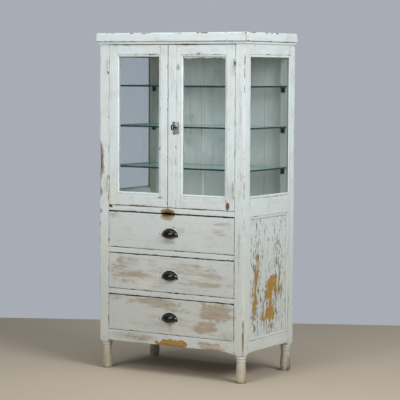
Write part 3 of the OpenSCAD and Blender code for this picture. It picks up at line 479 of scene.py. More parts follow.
# ------------------------------------------------------------------ materials
class Tree:
    """A material's nodes, written as expressions."""

    def __init__(self, name):
        self.m = bpy.data.materials.new(name)
        self.m.use_nodes = True
        self.t = self.m.node_tree
        self.t.nodes.clear()
        self.out = self.t.nodes.new("ShaderNodeOutputMaterial")

    def put(self, socket, v):
        if isinstance(v, bpy.types.NodeSocket):
            self.t.links.new(v, socket)
        elif v is not None:
            if isinstance(v, tuple) and len(v) == 3 and socket.type == "RGBA":
                v = (*v, 1)
            socket.default_value = v

    def add(self, kind, ins=(), **props):
        n = self.t.nodes.new(kind)
        for k, v in props.items():
            setattr(n, k, v)
        for k, v in dict(ins).items():
            self.put(n.inputs[k], v)
        return n

    def pos(self):
        return self.add("ShaderNodeTexCoord").outputs["Object"]

    def xyz(self, v):
        return self.add("ShaderNodeSeparateXYZ", {0: v}).outputs

    def mul(self, v, k):
        return self.add("ShaderNodeVectorMath", {0: v, 1: k}, operation="MULTIPLY").outputs[0]

    def off(self, v, k):
        return self.add("ShaderNodeVectorMath", {0: v, 1: k}, operation="ADD").outputs[0]

    def math(self, op, a, b=0.0, clamp=False):
        return self.add("ShaderNodeMath", {0: a, 1: b}, operation=op, use_clamp=clamp).outputs[0]

    def times(self, a, b, clamp=False):
        return self.math("MULTIPLY", a, b, clamp)

    def stir(self, value, noise, k):
        """The value with k times a noise round 0.5 added."""
        return self.fma(self.math("SUBTRACT", noise, 0.5), k, value)

    def fma(self, a, b, c):
        return self.add("ShaderNodeMath", {0: a, 1: b, 2: c}, operation="MULTIPLY_ADD").outputs[0]

    def ramp(self, x, lo, hi, a=0.0, b=1.0):
        return self.add("ShaderNodeMapRange", {0: x, 1: lo, 2: hi, 3: a, 4: b},
                        interpolation_type="SMOOTHSTEP").outputs[0]

    def noise(self, v, scale, detail=3.0, rough=0.55):
        return self.add("ShaderNodeTexNoise", {"Vector": v, "Scale": scale, "Detail": detail,
                                               "Roughness": rough}).outputs[0]

    def cells(self, v, scale):
        return self.add("ShaderNodeTexVoronoi", {"Vector": v, "Scale": scale}).outputs

    def mix(self, f, a, b):
        n = self.add("ShaderNodeMix", data_type="RGBA")
        for socket, value in ((0, f), (6, a), (7, b)):
            self.put(n.inputs[socket], value)
        return n.outputs[2]

    def wear(self):
        """The mesh's bare, rubbed, grime-and-painted-shade and arris values."""
        att = self.add("ShaderNodeAttribute", attribute_name="wear", attribute_type="GEOMETRY")
        parts = self.add("ShaderNodeSeparateColor", {0: att.outputs["Color"]})
        return (*parts.outputs[:3], att.outputs["Alpha"])

    def shut_in(self, distance):
        return self.add("ShaderNodeAmbientOcclusion", {"Distance": distance}, samples=4).outputs["AO"]

    def blend(self, f, a, b):
        """A mix of the shaders of two nodes."""
        return self.add("ShaderNodeMixShader", {0: f, 1: a.outputs[0], 2: b.outputs[0]})

    def surface(self, colour, rough, height=None, strength=1.0, **ins):
        b = self.add("ShaderNodeBsdfPrincipled")
        self.put(b.inputs["Base Color"], colour)
        self.put(b.inputs["Roughness"], rough)
        if height is not None:
            bump = self.add("ShaderNodeBump", {"Height": height, "Strength": strength,
                                               "Distance": 1.0})
            self.put(b.inputs["Normal"], bump.outputs[0])
        for k, v in ins.items():
            self.put(b.inputs[k.replace("_", " ")], v)
        self.t.links.new(b.outputs[0], self.out.inputs[0])
        return self.m


def lin(r, g, b):
    """A colour given from 0 to 255 as linear values."""
    return tuple(round((((c / 255) + 0.055) / 1.055) ** 2.4 if c > 10 else c / 255 / 12.92, 4)
                 for c in (r, g, b))


def stretch(grain, k):
    """Scales that draw a pattern out along the grain."""
    return {"x": (k, 1, 1), "y": (1, k, 1), "z": (1, 1, k)}[grain]


def painted(name, grain, high=lin(228, 239, 241), low=lin(208, 213, 210), flake=0.0, dirt=1.0,
            inner=None, rag=2.6, arris=1.0, edges=0.0, speck=0.90, inside=False, boards=False, fine=0.45):
    """Old white paint on wood.

    It has brush marks, fine cracks, flakes with painted shadow at their rims, rubbed places,
    and dirt with painted shade in the corners."""
    g = Tree(name)
    p = g.pos()
    x, y, z = g.xyz(p)
    bare, thin, grime_and_shade, edge = g.wear()
    s6, s12, s20 = (g.mul(p, stretch(grain, k)) for k in (0.17, 0.085, 0.05))
    broad = g.noise(p, 4.2, 3.0, 0.5)
    patch = g.noise(g.off(p, (3.1, 1.7, 5.2)), 13.0, 4.0, 0.6)
    n_small = g.noise(s6, 230.0, 4.0, 0.6)
    n_mid = g.noise(s6, 62.0, 4.0, 0.62)
    streak = g.noise(s12, 46.0, 5.0, 0.66)
    brush = g.noise(s20, 430.0, 2.0, 0.5)
    # top coat: lighter and bluer high up, darker and creamier low down, partly the paint's own tone and
    # partly painted shade of the light falling off downwards; darker and yellower near the floor
    base = g.mix(g.ramp(z, 0.25, 1.25), low, high)
    base = g.mix(g.ramp(z, 0.19, 0.05, 0.0, 0.9), base, lin(181, 170, 136))
    if boards:
        k = g.math("FLOOR", g.fma(x, 1 / 0.09, 0.278 / 0.09))
        tone = g.add("ShaderNodeTexWhiteNoise", {"W": g.fma(k, 1.7, 4.3)}, noise_dimensions="1D").outputs[0]
        tone = g.fma(tone, 0.10, g.ramp(x, 0.06, 0.20, 0.0, 0.38))
        tone = g.math("ADD", tone, g.ramp(z, 1.12, 0.98, 0.0, 0.28))
        base = g.mix(tone, base, lin(140, 141, 134))
    base = g.mix(g.ramp(broad, 0.44, 0.70, 0.0, 0.35), base, lin(228, 226, 212))
    base = g.mix(g.ramp(patch, 0.5, 0.72, 0.0, 0.35), base, lin(204, 210, 208))
    base = g.mix(g.ramp(streak, 0.48, 0.72, 0.0, 0.36), base, lin(202, 198, 184))
    base = g.mix(g.ramp(brush, 0.35, 0.65, 0.0, 0.10), base, lin(198, 202, 200))
    # rubbed through to the darker coats and the grain
    t_val = g.stir(thin, streak, 3.4)
    t_val = g.stir(t_val, g.noise(s6, 26.0, 4.0, 0.65), 2.2)
    t_val = g.stir(t_val, g.noise(s12, 300.0, 3.0, 0.65), 1.8)
    t_val = g.times(g.ramp(t_val, 0.15, 1.2), g.ramp(thin, 0.02, 0.6))
    tan = g.mix(g.ramp(g.noise(p, 3.1, 2.0, 0.5), 0.42, 0.56), lin(178, 168, 148), lin(180, 156, 136))
    tan = g.mix(g.ramp(g.noise(s12, 190.0, 4.0, 0.6), 0.42, 0.66, 0.0, 0.6), tan, lin(146, 130, 108))
    base = g.mix(g.times(t_val, 0.88), base, tan)
    # paint that has flaked off
    lumps = g.fma(n_mid, 1 - fine, g.times(n_small, fine))
    at_edge = g.ramp(g.noise(p, 17.0, 3.0, 0.6), 0.36, 0.66, 0.08 * arris, 0.56 * arris)
    worn_edge = g.times(edge, at_edge)
    val = g.math("MAXIMUM", bare, worn_edge)
    if flake:
        val = g.math("ADD", val, flake)
    val = g.stir(val, lumps, rag)
    primer = g.ramp(val, 0.40, 0.47)
    gone = g.ramp(val, 0.50, 0.54)
    # rim: a thin painted shadow line along the edge of each flake
    rim = g.math("SUBTRACT", gone, g.ramp(val, 0.56, 0.70), clamp=True)
    under = g.mix(g.ramp(bare, 0.26, 0.52), lin(104, 92, 74), lin(180, 138, 68))
    under = g.mix(g.ramp(g.noise(s20, 260.0, 3.0, 0.6), 0.38, 0.62, 0.0, 0.5), under, lin(142, 104, 48))
    under = g.mix(g.ramp(grime_and_shade, 0.15, 1.0, 0.0, 0.75), under, lin(84, 56, 34))
    under = g.mix(g.times(rim, 0.55), under, lin(62, 46, 32))
    base = g.mix(g.times(primer, 0.55), base, lin(188, 182, 164))
    base = g.mix(gone, base, under)
    # hairline cracks along the grain, and flecks
    ridge = g.math("ABSOLUTE", g.math("SUBTRACT", g.noise(s20, 120.0, 2.0, 0.5), 0.5))
    crack = g.times(g.ramp(ridge, 0.012, 0.003), g.ramp(patch, 0.50, 0.64))
    base = g.mix(g.times(crack, 0.42), base, lin(96, 80, 62))
    dots = g.cells(g.mul(p, stretch(grain, 0.55)), 105.0)
    pick = g.ramp(g.add("ShaderNodeSeparateColor", {0: dots["Color"]}).outputs[0], speck, speck + 0.02)
    spot = g.times(g.ramp(dots["Distance"], 0.20, 0.11), pick)
    base = g.mix(g.times(spot, 0.75), base, lin(74, 60, 48))
    # dirt and painted shade: darker in corners, creases and gaps where the surface is shut in
    ao = g.shut_in(0.011)
    shut = g.times(g.ramp(ao, 0.72, 0.30), g.ramp(streak, 0.30, 0.62, 0.45, 1.0))
    base = g.mix(g.times(shut, 0.55 * dirt), base, lin(92, 78, 58))
    # grime, which in some spots is painted shade
    grime_and_shade_amount = g.times(grime_and_shade, g.ramp(g.noise(p, 75.0, 5.0, 0.7), 0.36, 0.60, 0.25, 1.0))
    base = g.mix(g.times(grime_and_shade_amount, 0.85, clamp=True), base, lin(98, 78, 50))
    if edges:  # painted shade: the faces inside the gaps are near black
        back = g.ramp(y, (YF + 0.1) / 1000, (YF + 1.6) / 1000, 0.0, edges)
        base = g.mix(back, base, lin(34, 32, 27))
    if inside:  # the faces within the cupboard are yellower
        x_in = g.ramp(g.math("ABSOLUTE", x), (HW - 9) / 1000, (HW - 12) / 1000)
        y_in = g.ramp(y, (YF + 24) / 1000, (YF + 28) / 1000)
        deep = g.times(g.times(x_in, y_in), g.ramp(streak, 0.3, 0.7, 0.5, 0.9))
        base = g.mix(deep, base, lin(196, 194, 180))
    rough = g.fma(gone, 0.35, g.ramp(streak, 0.3, 0.7, 0.36, 0.52))
    h = g.fma(gone, -0.00035, g.times(brush, 0.00006))
    h = g.fma(primer, -0.00012, h)
    h = g.fma(n_mid, 0.00022, h)
    h = g.fma(crack, -0.0002, h)
    h = g.fma(spot, -0.0004, h)
    if inner is not None:  # unpainted behind this face
        axis, at, sign, tone = inner
        f = g.ramp((x, y, z)[axis], at, at + 0.001 * sign)
        ring = g.noise(s12, 130.0, 5.0, 0.62)
        timber = g.mix(g.ramp(ring, 0.35, 0.68), tone, tuple(c * 0.55 for c in tone))
        base = g.mix(f, base, timber)
        rough = g.fma(f, 0.25, rough)
    return g.surface(base, rough, h, 0.8)


def timber(name, grain):
    """Old unpainted softwood."""
    g = Tree(name)
    p = g.pos()
    s = g.mul(p, stretch(grain, 0.06))
    ring = g.noise(s, 48.0, 5.0, 0.6)
    pore = g.noise(g.mul(p, stretch(grain, 0.04)), 380.0, 3.0, 0.6)
    stain = g.noise(p, 5.0, 4.0, 0.6)
    c = g.mix(g.ramp(ring, 0.36, 0.64), lin(168, 138, 98), lin(112, 84, 54))
    c = g.mix(g.ramp(pore, 0.50, 0.72, 0.0, 0.55), c, lin(72, 52, 34))
    c = g.mix(g.ramp(stain, 0.48, 0.72, 0.0, 0.5), c, lin(96, 82, 66))
    # painted shade: darker where the wood is shut in by other parts
    ao = g.shut_in(0.02)
    c = g.mix(g.ramp(ao, 0.8, 0.3, 0.0, 0.6), c, lin(44, 34, 24))
    h = g.fma(ring, 0.0004, g.times(pore, 0.0002))
    return g.surface(c, g.ramp(stain, 0.3, 0.7, 0.62, 0.85), h, 0.7)


def black_iron(name, rust=0.25, gloss=0.22, worn=0.0, shine=0.6, dark=0.0):
    """Black enamelled iron with rubbed arrises and rust."""
    g = Tree(name)
    p = g.pos()
    bare, flat, _, _ = g.wear()
    n = g.noise(p, 90.0, 5.0, 0.65)
    fine = g.noise(p, 520.0, 3.0, 0.6)
    r = g.ramp(g.math("ADD", g.fma(bare, 0.42, n), rust * 0.3), 0.62, 0.80)
    c = g.mix(g.ramp(fine, 0.4, 0.7), lin(26, 23, 20), lin(50, 45, 39))
    c = g.mix(g.math("MAXIMUM", flat, dark), c, lin(9, 9, 8))
    c = g.mix(r, c, g.mix(g.ramp(fine, 0.35, 0.65), lin(98, 62, 38), lin(70, 50, 38)))
    if worn:
        c = g.mix(g.ramp(n, 0.60, 0.72, 0.0, worn), c, lin(176, 176, 170))
    rough = g.fma(flat, 0.2, g.fma(r, 0.4, g.ramp(n, 0.3, 0.75, gloss, gloss + 0.22)))
    h = g.fma(n, 0.00025, g.times(fine, 0.00003))
    return g.surface(c, rough, h, 0.7, Specular_IOR_Level=shine)


def painted_iron(name):
    """Iron painted over with the cupboard and chipped since."""
    g = Tree(name)
    p = g.pos()
    n = g.noise(g.mul(p, (1, 1, 0.4)), 120.0, 5.0, 0.65)
    big = g.noise(g.off(p, (0.3, 0.7, 0.1)), 21.0, 2.0, 0.5)
    gone = g.ramp(g.fma(big, 0.9, n), 1.0, 1.04)
    iron = g.mix(g.ramp(n, 0.4, 0.62), lin(34, 30, 27), lin(74, 60, 48))
    c = g.mix(gone, g.mix(g.ramp(n, 0.35, 0.6), lin(218, 222, 216), lin(190, 186, 170)), iron)
    rough = g.fma(gone, 0.1, 0.48)
    return g.surface(c, rough, g.fma(gone, -0.0003, g.times(n, 0.0003)), 0.8)


def plate_steel(name):
    """Dull steel with vertical scratches and smears of old paint."""
    g = Tree(name)
    p = g.pos()
    n = g.noise(p, 160.0, 5.0, 0.65)
    lines = g.noise(g.mul(p, (1, 1, 0.05)), 900.0, 2.0, 0.5)
    smear = g.noise(p, 70.0, 4.0, 0.6)
    c = g.mix(g.ramp(n, 0.40, 0.66), lin(150, 152, 152), lin(96, 94, 90))
    c = g.mix(g.ramp(smear, 0.44, 0.52), c, lin(206, 210, 206))
    c = g.mix(g.ramp(n, 0.58, 0.68, 0.0, 0.8), c, lin(70, 58, 46))
    rough = g.ramp(n, 0.35, 0.7, 0.38, 0.68)
    return g.surface(c, rough, g.fma(lines, 0.00002, g.times(n, 0.0001)), 0.7,
                     Metallic=0.25)


def clear_glass(name, tint, streaks=0.0, deep=0.0):
    """Thin glass: what is behind shows straight through, and the front face mirrors by angle."""
    g = Tree(name)
    p = g.pos()
    geo = g.add("ShaderNodeNewGeometry")
    h = g.times(g.noise(p, 3.5, 2.0, 0.5), 0.004)
    bump = g.add("ShaderNodeBump", {"Height": h, "Strength": 1.0, "Distance": 1.0})
    fres = g.add("ShaderNodeFresnel", {"IOR": 1.5})
    f = g.times(fres.outputs[0], g.math("SUBTRACT", 1.0, geo.outputs["Backfacing"]))
    clear = g.add("ShaderNodeBsdfTransparent", {"Color": tint})
    gloss = g.add("ShaderNodeBsdfGlossy", {"Color": (1, 1, 1), "Roughness": 0.04})
    g.put(gloss.inputs["Normal"], bump.outputs[0])
    last = g.blend(f, clear, gloss)
    if deep:  # a plate seen along its length is greener
        facing = g.add("ShaderNodeLayerWeight", {"Blend": 0.3}).outputs["Facing"]
        green = g.add("ShaderNodeBsdfDiffuse", {"Color": lin(178, 232, 218)})
        last = g.blend(g.times(facing, deep), last, green)
    if streaks:  # a film of dust
        film = g.add("ShaderNodeBsdfDiffuse", {"Color": lin(206, 214, 210)})
        amount = g.ramp(g.noise(p, 9.0, 5.0, 0.65), 0.35, 0.75, streaks * 0.3, streaks)
        last = g.blend(amount, last, film)
    g.t.links.new(last.outputs[0], g.out.inputs[0])
    return g.m


def glass_edge(name):
    """The ground edge of thick glass: deep green."""
    g = Tree(name)
    p = g.pos()
    n = g.noise(g.mul(p, (0.2, 0.2, 1.0)), 160.0, 3.0, 0.6)
    c = g.mix(g.ramp(n, 0.35, 0.68), lin(3, 42, 37), lin(12, 84, 72))
    return g.surface(c, g.ramp(n, 0.3, 0.7, 0.10, 0.24), g.times(n, 0.00008), 0.5)


PAINT_X = painted("old_paint_across", "x")
PAINT_Y = painted("old_paint_depth", "y")
PAINT_Z = painted("old_paint_upright", "z", inside=True, arris=0.8)
PAINT_FINE_X = painted("old_paint_moulding", "x", arris=0.4)
PAINT_FRONT_X = painted("old_paint_front_across", "x", edges=1.0)
PAINT_BEAD = painted("old_paint_beads", "z", arris=0.30)
PAINT_DOOR_X = painted("old_paint_door_across", "x", arris=0.8)
PAINT_PANEL = painted("old_paint_panel", "z", flake=0.05, rag=5.0, fine=0.62)
PAINT_DRAWER = painted("old_paint_drawer", "x", high=lin(222, 232, 237), low=lin(204, 207, 202), speck=0.85,
                       inner=(1, (YF + 20) / 1000, 1, lin(172, 146, 108)), edges=1.0)
PAINT_BACK = painted("old_paint_boards", "z", high=lin(252, 255, 252), low=lin(240, 242, 240), boards=True,
                     arris=0.12, dirt=0.5, speck=0.97, inner=(1, (YB - 13) / 1000, 1, lin(172, 150, 118)))
PAINT_INSIDE = painted("old_paint_inside", "x", high=lin(230, 232, 224), low=lin(196, 194, 182), arris=0.2)
# pure white and almost clean: a painted highlight for a pale line of light on the back boards
PAINT_STRIP_HIGHLIGHT = painted("old_paint_strip", "z", high=(1.0, 1.0, 1.0), low=(0.95, 0.96, 0.95), arris=0.1,
                      dirt=0.2, speck=0.99)
WOOD_X = timber("old_timber_across", "x")
WOOD_Y = timber("old_timber_depth", "y")
IRON = black_iron("black_iron", rust=0.55, gloss=0.30, worn=0.35)
IRON_PLAIN = black_iron("black_clips", rust=0.0, gloss=0.6, shine=0.12, dark=0.8)
HINGE = painted_iron("painted_hinges")
IRON_GLOSS = black_iron("black_enamel", rust=0.12, gloss=0.08, shine=0.5, dark=0.8)
STEEL = plate_steel("dull_plate")
PANE = clear_glass("window_glass", lin(249, 251, 252), streaks=0.014)
SHELF = clear_glass("shelf_glass_face", lin(250, 253, 252), streaks=0.015, deep=0.26)
SHELF_EDGE = glass_edge("shelf_glass_edge")


def wood(name, parts, material, body="carcass"):
    """A painted piece that takes the place of the CAD node of the same name."""
    return make(f"{name}_old", parts, material, body, name)


# ------------------------------------------------------------------ posts with turned feet
# height above the floor and radius of the turning
FOOT = np.array([
    (0, 20.6), (1.0, 21.5), (3, 22.5), (9, 24.2), (18, 25.6), (28, 26.3), (38, 26.2), (50, 25.4), (63, 24.2),
    (76, 23), (88, 22.1), (97, 21.7), (102, 21.9), (104.5, 22.9), (107, 23.6), (109.5, 22.9),
    (112, 22.4), (116, 22.6), (118.5, 23.4), (120.5, 24.8), (123.5, 25.6), (126.5, 25.2),
    (128.5, 23.8), (131, 24.6), (134.5, 27.5), (139, 31), (143.5, 34.4), (147.5, 37),
    (151, 38.6), (160, 60.0),
])


def post(sx, back, seed):
    """A square post that is turned below FOOT_TOP; sx is the side, -1 or 1."""
    x0, x1 = sorted((sx * IX, sx * HW))
    y0, y1 = (IYB, YB) if back else (YF, IYF)
    cx, cy = (x0 + x1) / 2, (y0 + y1) / 2
    h, q = POST / 2, REBATE
    # local outline with the rebate for the side pane at its outer inside corner
    a1 = [(-h, -h, 1.6), (h, -h, 1.6), (h, h - q, 0.8), (h - q, h - q, 0.0), (h - q, h, 0.8), (-h, h, 1.6)]
    mx, my = (1 if sx > 0 else -1), (-1 if back else 1)
    pts = [(cx + mx * a, cy + my * b, r) for a, b, r in a1]
    if mx * my < 0:
        pts = pts[::-1]

    def shape(V, D):
        V, D = V.copy(), D.copy()
        a, b = (V[:, 0] - cx) * mx, (V[:, 1] - cy) * my
        whole = (V[:, 2] < SM_TOP) | (V[:, 2] > ST_BOT)
        e1 = whole & (np.abs(b - (h - q)) < 1.2) & (a > h - q - 0.01)
        e2 = whole & (np.abs(a - (h - q)) < 1.2) & (b > h - q + 0.01) & ~e1
        s1, s2 = np.clip(h - a, 0, q), np.clip(b - (h - q), 0, q)
        V[e1, 0] = cx + mx * h
        V[e1, 1] = cy + my * (h - q + s1[e1])
        V[e2, 0] = cx + mx * (h - s2[e2])
        V[e2, 1] = cy + my * h
        low = V[:, 2] < FOOT_TOP
        d = V[low, :2] - (cx, cy)
        r = np.linalg.norm(d, axis=1)
        R = np.interp(V[low, 2], FOOT[:, 0], FOOT[:, 1])
        k = np.minimum(1, R / r)
        V[low, :2] = (cx, cy) + d * k[:, None]
        turned = np.where(low)[0][k < 0.999]
        dd = V[turned, :2] - (cx, cy)
        D[turned, :2] = -dd / np.linalg.norm(dd, axis=1)[:, None]
        return V, D

    extra = [z + d for z in (SM_TOP, ST_BOT) for d in (-0.06, 0.06)] + np.arange(1.0, 160, 1.6).tolist()
    return length_of(pts, "z", (0, Z_TOP), step=3.4, along=6.0 if back else 5.0, r_end=0.8, seed=seed,
                     amount=0.9, extra=extra, shape=shape, wave=0.15)


wood("post_front_left", [post(-1, False, 11)], PAINT_Z)
wood("post_front_right", [post(1, False, 12)], PAINT_Z)
wood("post_back_left", [post(-1, True, 13)], PAINT_Z)
wood("post_back_right", [post(1, True, 14)], PAINT_Z)

# ------------------------------------------------------------------ sides
XI = HW - 22


def both(build):
    """The left and the right one."""
    return [build(s) for s in (-1, 1)]


def xs(s, a, b):
    """The span from a to b on side s."""
    return tuple(sorted((s * a, s * b)))


def side_rails(z, lip, seed):
    """A rail on each side, and behind it the lip that the pane rests against."""
    return [board(xs(s, XI, HW), (IYF, IYB), z, "y", seed=seed + s) for s in (-1, 1)] + [
        board(xs(s, XI, HW - REBATE), (IYF, IYB), lip, "y", seed=seed + 2 + s, r=0.6) for s in (-1, 1)]


wood("side_top_rails", side_rails((ST_BOT, Z_TOP), (ST_BOT - 6, ST_BOT), 21), PAINT_Y)
wood("side_middle_rails", side_rails((SM_BOT, SM_TOP), (SM_TOP, SM_TOP + 6), 25), PAINT_Y)


def apron_side(s):
    """The lower edge drops towards the front on the right, and is uneven."""

    def shape(V, D):
        V = V.copy()
        k = np.clip((IYF + 50 - V[:, 1]) / 50, 0, 1) ** 1.4 * 5.0 * (s > 0)
        low = np.clip(1 - (V[:, 2] - APRON_BOT) / 30, 0, 1)
        V[:, 2] -= k * low
        V[:, 2] += low * (noise(V, (30, 30, 30), 77) - 0.3) * 1.6
        return V, D

    return board(xs(s, XI, HW), (IYF, IYB), (APRON_BOT, APRON_TOP), "y", seed=31 + s, shape=shape)


def side_panel(s):
    return board(xs(s, HW - 15, HW - 7), (IYF + 0.1, IYB - 0.1), (APRON_TOP + 0.1, SM_BOT - 0.1), "z",
                 step=4.5, along=5, r=0.3, r_end=0.3, seed=35 + s, amount=0.1, wave=0.5)


wood("side_aprons", both(apron_side), PAINT_Y)
wood("side_panels", both(side_panel), PAINT_PANEL)


def frame_of(plane, u0, u1, v0, v1, section, seed, u="x"):
    """Four mitred lengths round an opening.

    Section corners are (in from the opening's edge, out from the seat, radius), and plane(out)
    gives the place across."""
    parts = []

    def put(pts):  # keep the outline counter-clockwise
        area = sum(pts[i - 1][0] * pts[i][1] - pts[i][0] * pts[i - 1][1] for i in range(len(pts)))
        return pts if area > 0 else pts[::-1]

    def length(u_first, base, d, lo, hi, axis, seed):
        pts = [(base + d * a, plane(b), r) if u_first else (plane(b), base + d * a, r) for a, b, r in section]
        c = 0 if u_first else 1
        ends = (lambda P: lo + (P[:, c] - base) * d, lambda P: hi - (P[:, c] - base) * d)
        return length_of(put(pts), axis, ends, step=3, along=6, seed=seed, amount=0.35, wave=0.1)

    for k, (base, d) in enumerate(((v0, 1), (v1, -1))):  # along u, below and above
        parts.append(length(False, base, d, u0, u1, u, seed + k))
    for k, (base, d) in enumerate(((u0, 1), (u1, -1))):  # upright
        parts.append(length(u == "x", base, d, v0, v1, "z", seed + 5 + k))
    return parts


def ovolo(w, t):
    """Section of a glazing bead with a rounded inner edge and a small step."""
    step, drop = 0.9, 1.8
    return [(0, 0, 0), (w, 0, 0), (w, t, min(w, t) * 0.62), (step, t, 0.5), (step, t - drop, 0.1),
            (0, t - drop, 0)]


rings = []
for s in (-1, 1):
    rings += frame_of(lambda o, s=s: s * (HW - 6 + o), IYF - REBATE, IYB + REBATE, SM_TOP, ST_BOT,
                      ovolo(12, 5.5), 41 + s, u="y")
    rings += frame_of(lambda o, s=s: s * (HW - 7 + o), IYF, IYB, APRON_TOP, SM_BOT,
                      ovolo(12, 6), 45 + s, u="y")
wood("side_beads", rings, PAINT_BEAD)

# ------------------------------------------------------------------ front members
BOLT_X, BOLT_Y = -39.5, YF + DOOR_T + 9
front = {"r": 1.3, "step": 5, "along": 5}
ACROSS = (-IX, IX)
wood("front_top_rail", [  # in two thicknesses with a stop strip, round a mortise for the bolt
    board(ACROSS, (YF, BOLT_Y - 5), (Z_MOULD, Z_TOP), "x", seed=51, **front),
    board(ACROSS, (BOLT_Y - 5, YF + 40), (Z_MOULD + 9.5, Z_TOP), "x", seed=57, r=0.3),
    board(ACROSS, (BOLT_Y - 7.5, BOLT_Y - 5), (Z_MOULD - 15, Z_MOULD), "x", seed=52, r=0.5),
    board(ACROSS, (BOLT_Y + 5, BOLT_Y + 8.5), (Z_MOULD - 15, Z_MOULD + 9.5), "x", seed=58, r=0.5),
] + [
    board(x, (BOLT_Y - 5, BOLT_Y + 5), (Z_MOULD - 15, Z_MOULD + 9.5), "x", seed=59, r=0.3)
    for x in ((-IX, BOLT_X - 5), (BOLT_X + 5, IX))
], PAINT_FRONT_X)
for name, z, seed in (("sill_rail", SILL, 53), ("drawer_rail_upper", RU, 54), ("drawer_rail_lower", RL, 55)):
    wood(name, [board(ACROSS, (YF, YF + 27), z, "x", seed=seed, **front)], PAINT_FRONT_X)


def apron_front(V, D):
    """The lower edge drops towards the right, and is splintered under the worn part."""
    V = V.copy()
    low = np.clip(1 - (V[:, 2] - APRON_BOT) / 34, 0, 1)
    V[:, 2] -= low * 9.0 * np.clip((V[:, 0] - (IX - 56)) / 56, 0, 1) ** 1.5
    rag = (noise(V, (9, 40, 40), 78) - 0.45) * 3.2 + (noise(V, (34, 60, 60), 79) - 0.4) * 3.0
    rag = rag * smooth(V[:, 0], 60, 130) * smooth(V[:, 0], 345, 300)
    rag = rag + (noise(V, (60, 60, 60), 80) - 0.5) * 1.4
    V[:, 2] += low**3 * rag
    return V, D


wood("front_apron", [board(ACROSS, (YF, YF + 22), (APRON_BOT, APRON_TOP), "x", seed=56, step=4, along=4,
                           r=1.3, shape=apron_front)], PAINT_X)

# ------------------------------------------------------------------ cornice and moulding
OVER, CORNICE_W = 13, 18  # how far the cornice stands out, and its width
XO, YO = HW + OVER, YF - OVER
c_sec = [(YO, Z_TOP, 1.4), (YO + CORNICE_W, Z_TOP, 0), (YO + CORNICE_W, TOTAL, 0.6), (YO, TOTAL, 4.6)]
mitres = (lambda P: -XO + (P[:, 0] - YO), lambda P: XO - (P[:, 0] - YO))
wood("cornice_front", [length_of(c_sec, "x", mitres, step=4, along=5, seed=61, amount=1.2, wave=0.4)],
     PAINT_X)


def cornice_side(s):
    inside = XO - CORNICE_W
    pts = [(s * inside, Z_TOP, 0), (s * XO, Z_TOP, 1.4), (s * XO, TOTAL, 4.6), (s * inside, TOTAL, 0.6)]
    return length_of(pts[::s], "y", (lambda P: YO + (XO - np.abs(P[:, 0])), YB), step=4, along=6,
                     seed=63 + s, amount=1.2, wave=0.4)


wood("cornice_sides", both(cornice_side), PAINT_Y)
wood("top_panel", [board((CORNICE_W - XO, XO - CORNICE_W), (YO + CORNICE_W, YB), (Z_TOP, TOTAL - 4), "x",
                         step=16, along=20, seed=65, wave=0.6)], PAINT_X)
# section of the moulding: out from the posts, up, radius
m_sec = [(0, 0, 0), (3.3, 0, 0.4), (6, 3.2, 1.6), (6, 11.6, 1.6), (3.3, 13.8, 0.4), (0, 13.8, 0)]


def moulding_front():
    pts = [(YF - a, Z_MOULD + b, r) for a, b, r in m_sec][::-1]
    return length_of(pts, "x", (lambda P: -HW - (YF - P[:, 0]), lambda P: HW + (YF - P[:, 0])),
                     step=3, along=5, seed=67, amount=0.7, wave=0.2)


def moulding_side(s):
    pts = [(s * (HW + a), Z_MOULD + b, r) for a, b, r in m_sec]
    return length_of(pts[::s], "y", (lambda P: YF - (np.abs(P[:, 0]) - HW), YB), step=3, along=6,
                     seed=68 + s, amount=0.7, wave=0.2)


wood("cornice_moulding", [moulding_front()] + both(moulding_side), PAINT_FINE_X)

# ------------------------------------------------------------------ back boards
BX = [-IX] + [-278 + 90 * k for k in range(7)] + [IX]
BACK_Z = (152, Z_TOP)
boards = []
for i, (a, b) in enumerate(zip(BX, BX[1:])):
    a, b, front_y = a + 0.2, b - 0.4, YB - 18
    pts = [(a, front_y + 1.2, 0.3), (a + 1.4, front_y, 0.5), (b - 1.4, front_y, 0.5), (b, front_y + 1.2, 0.3),
           (b, YB - 6, 0.8), (a, YB - 6, 0.8)]
    boards.append(length_of(pts, "z", BACK_Z, step=12, along=16, seed=81 + i, amount=0.3, wave=0.5))
# a strip on the back boards whose white paint is a painted highlight
strip = board((BX[3] - 13, BX[3] - 1.4), (YB - 20, YB - 17), BACK_Z, "z", r=1.4, step=6, along=16, seed=91,
              amount=0.3)
strip["m"] = strip["mc"] = 1
wood("back_boards", boards + [strip], [PAINT_BACK, PAINT_STRIP_HIGHLIGHT])


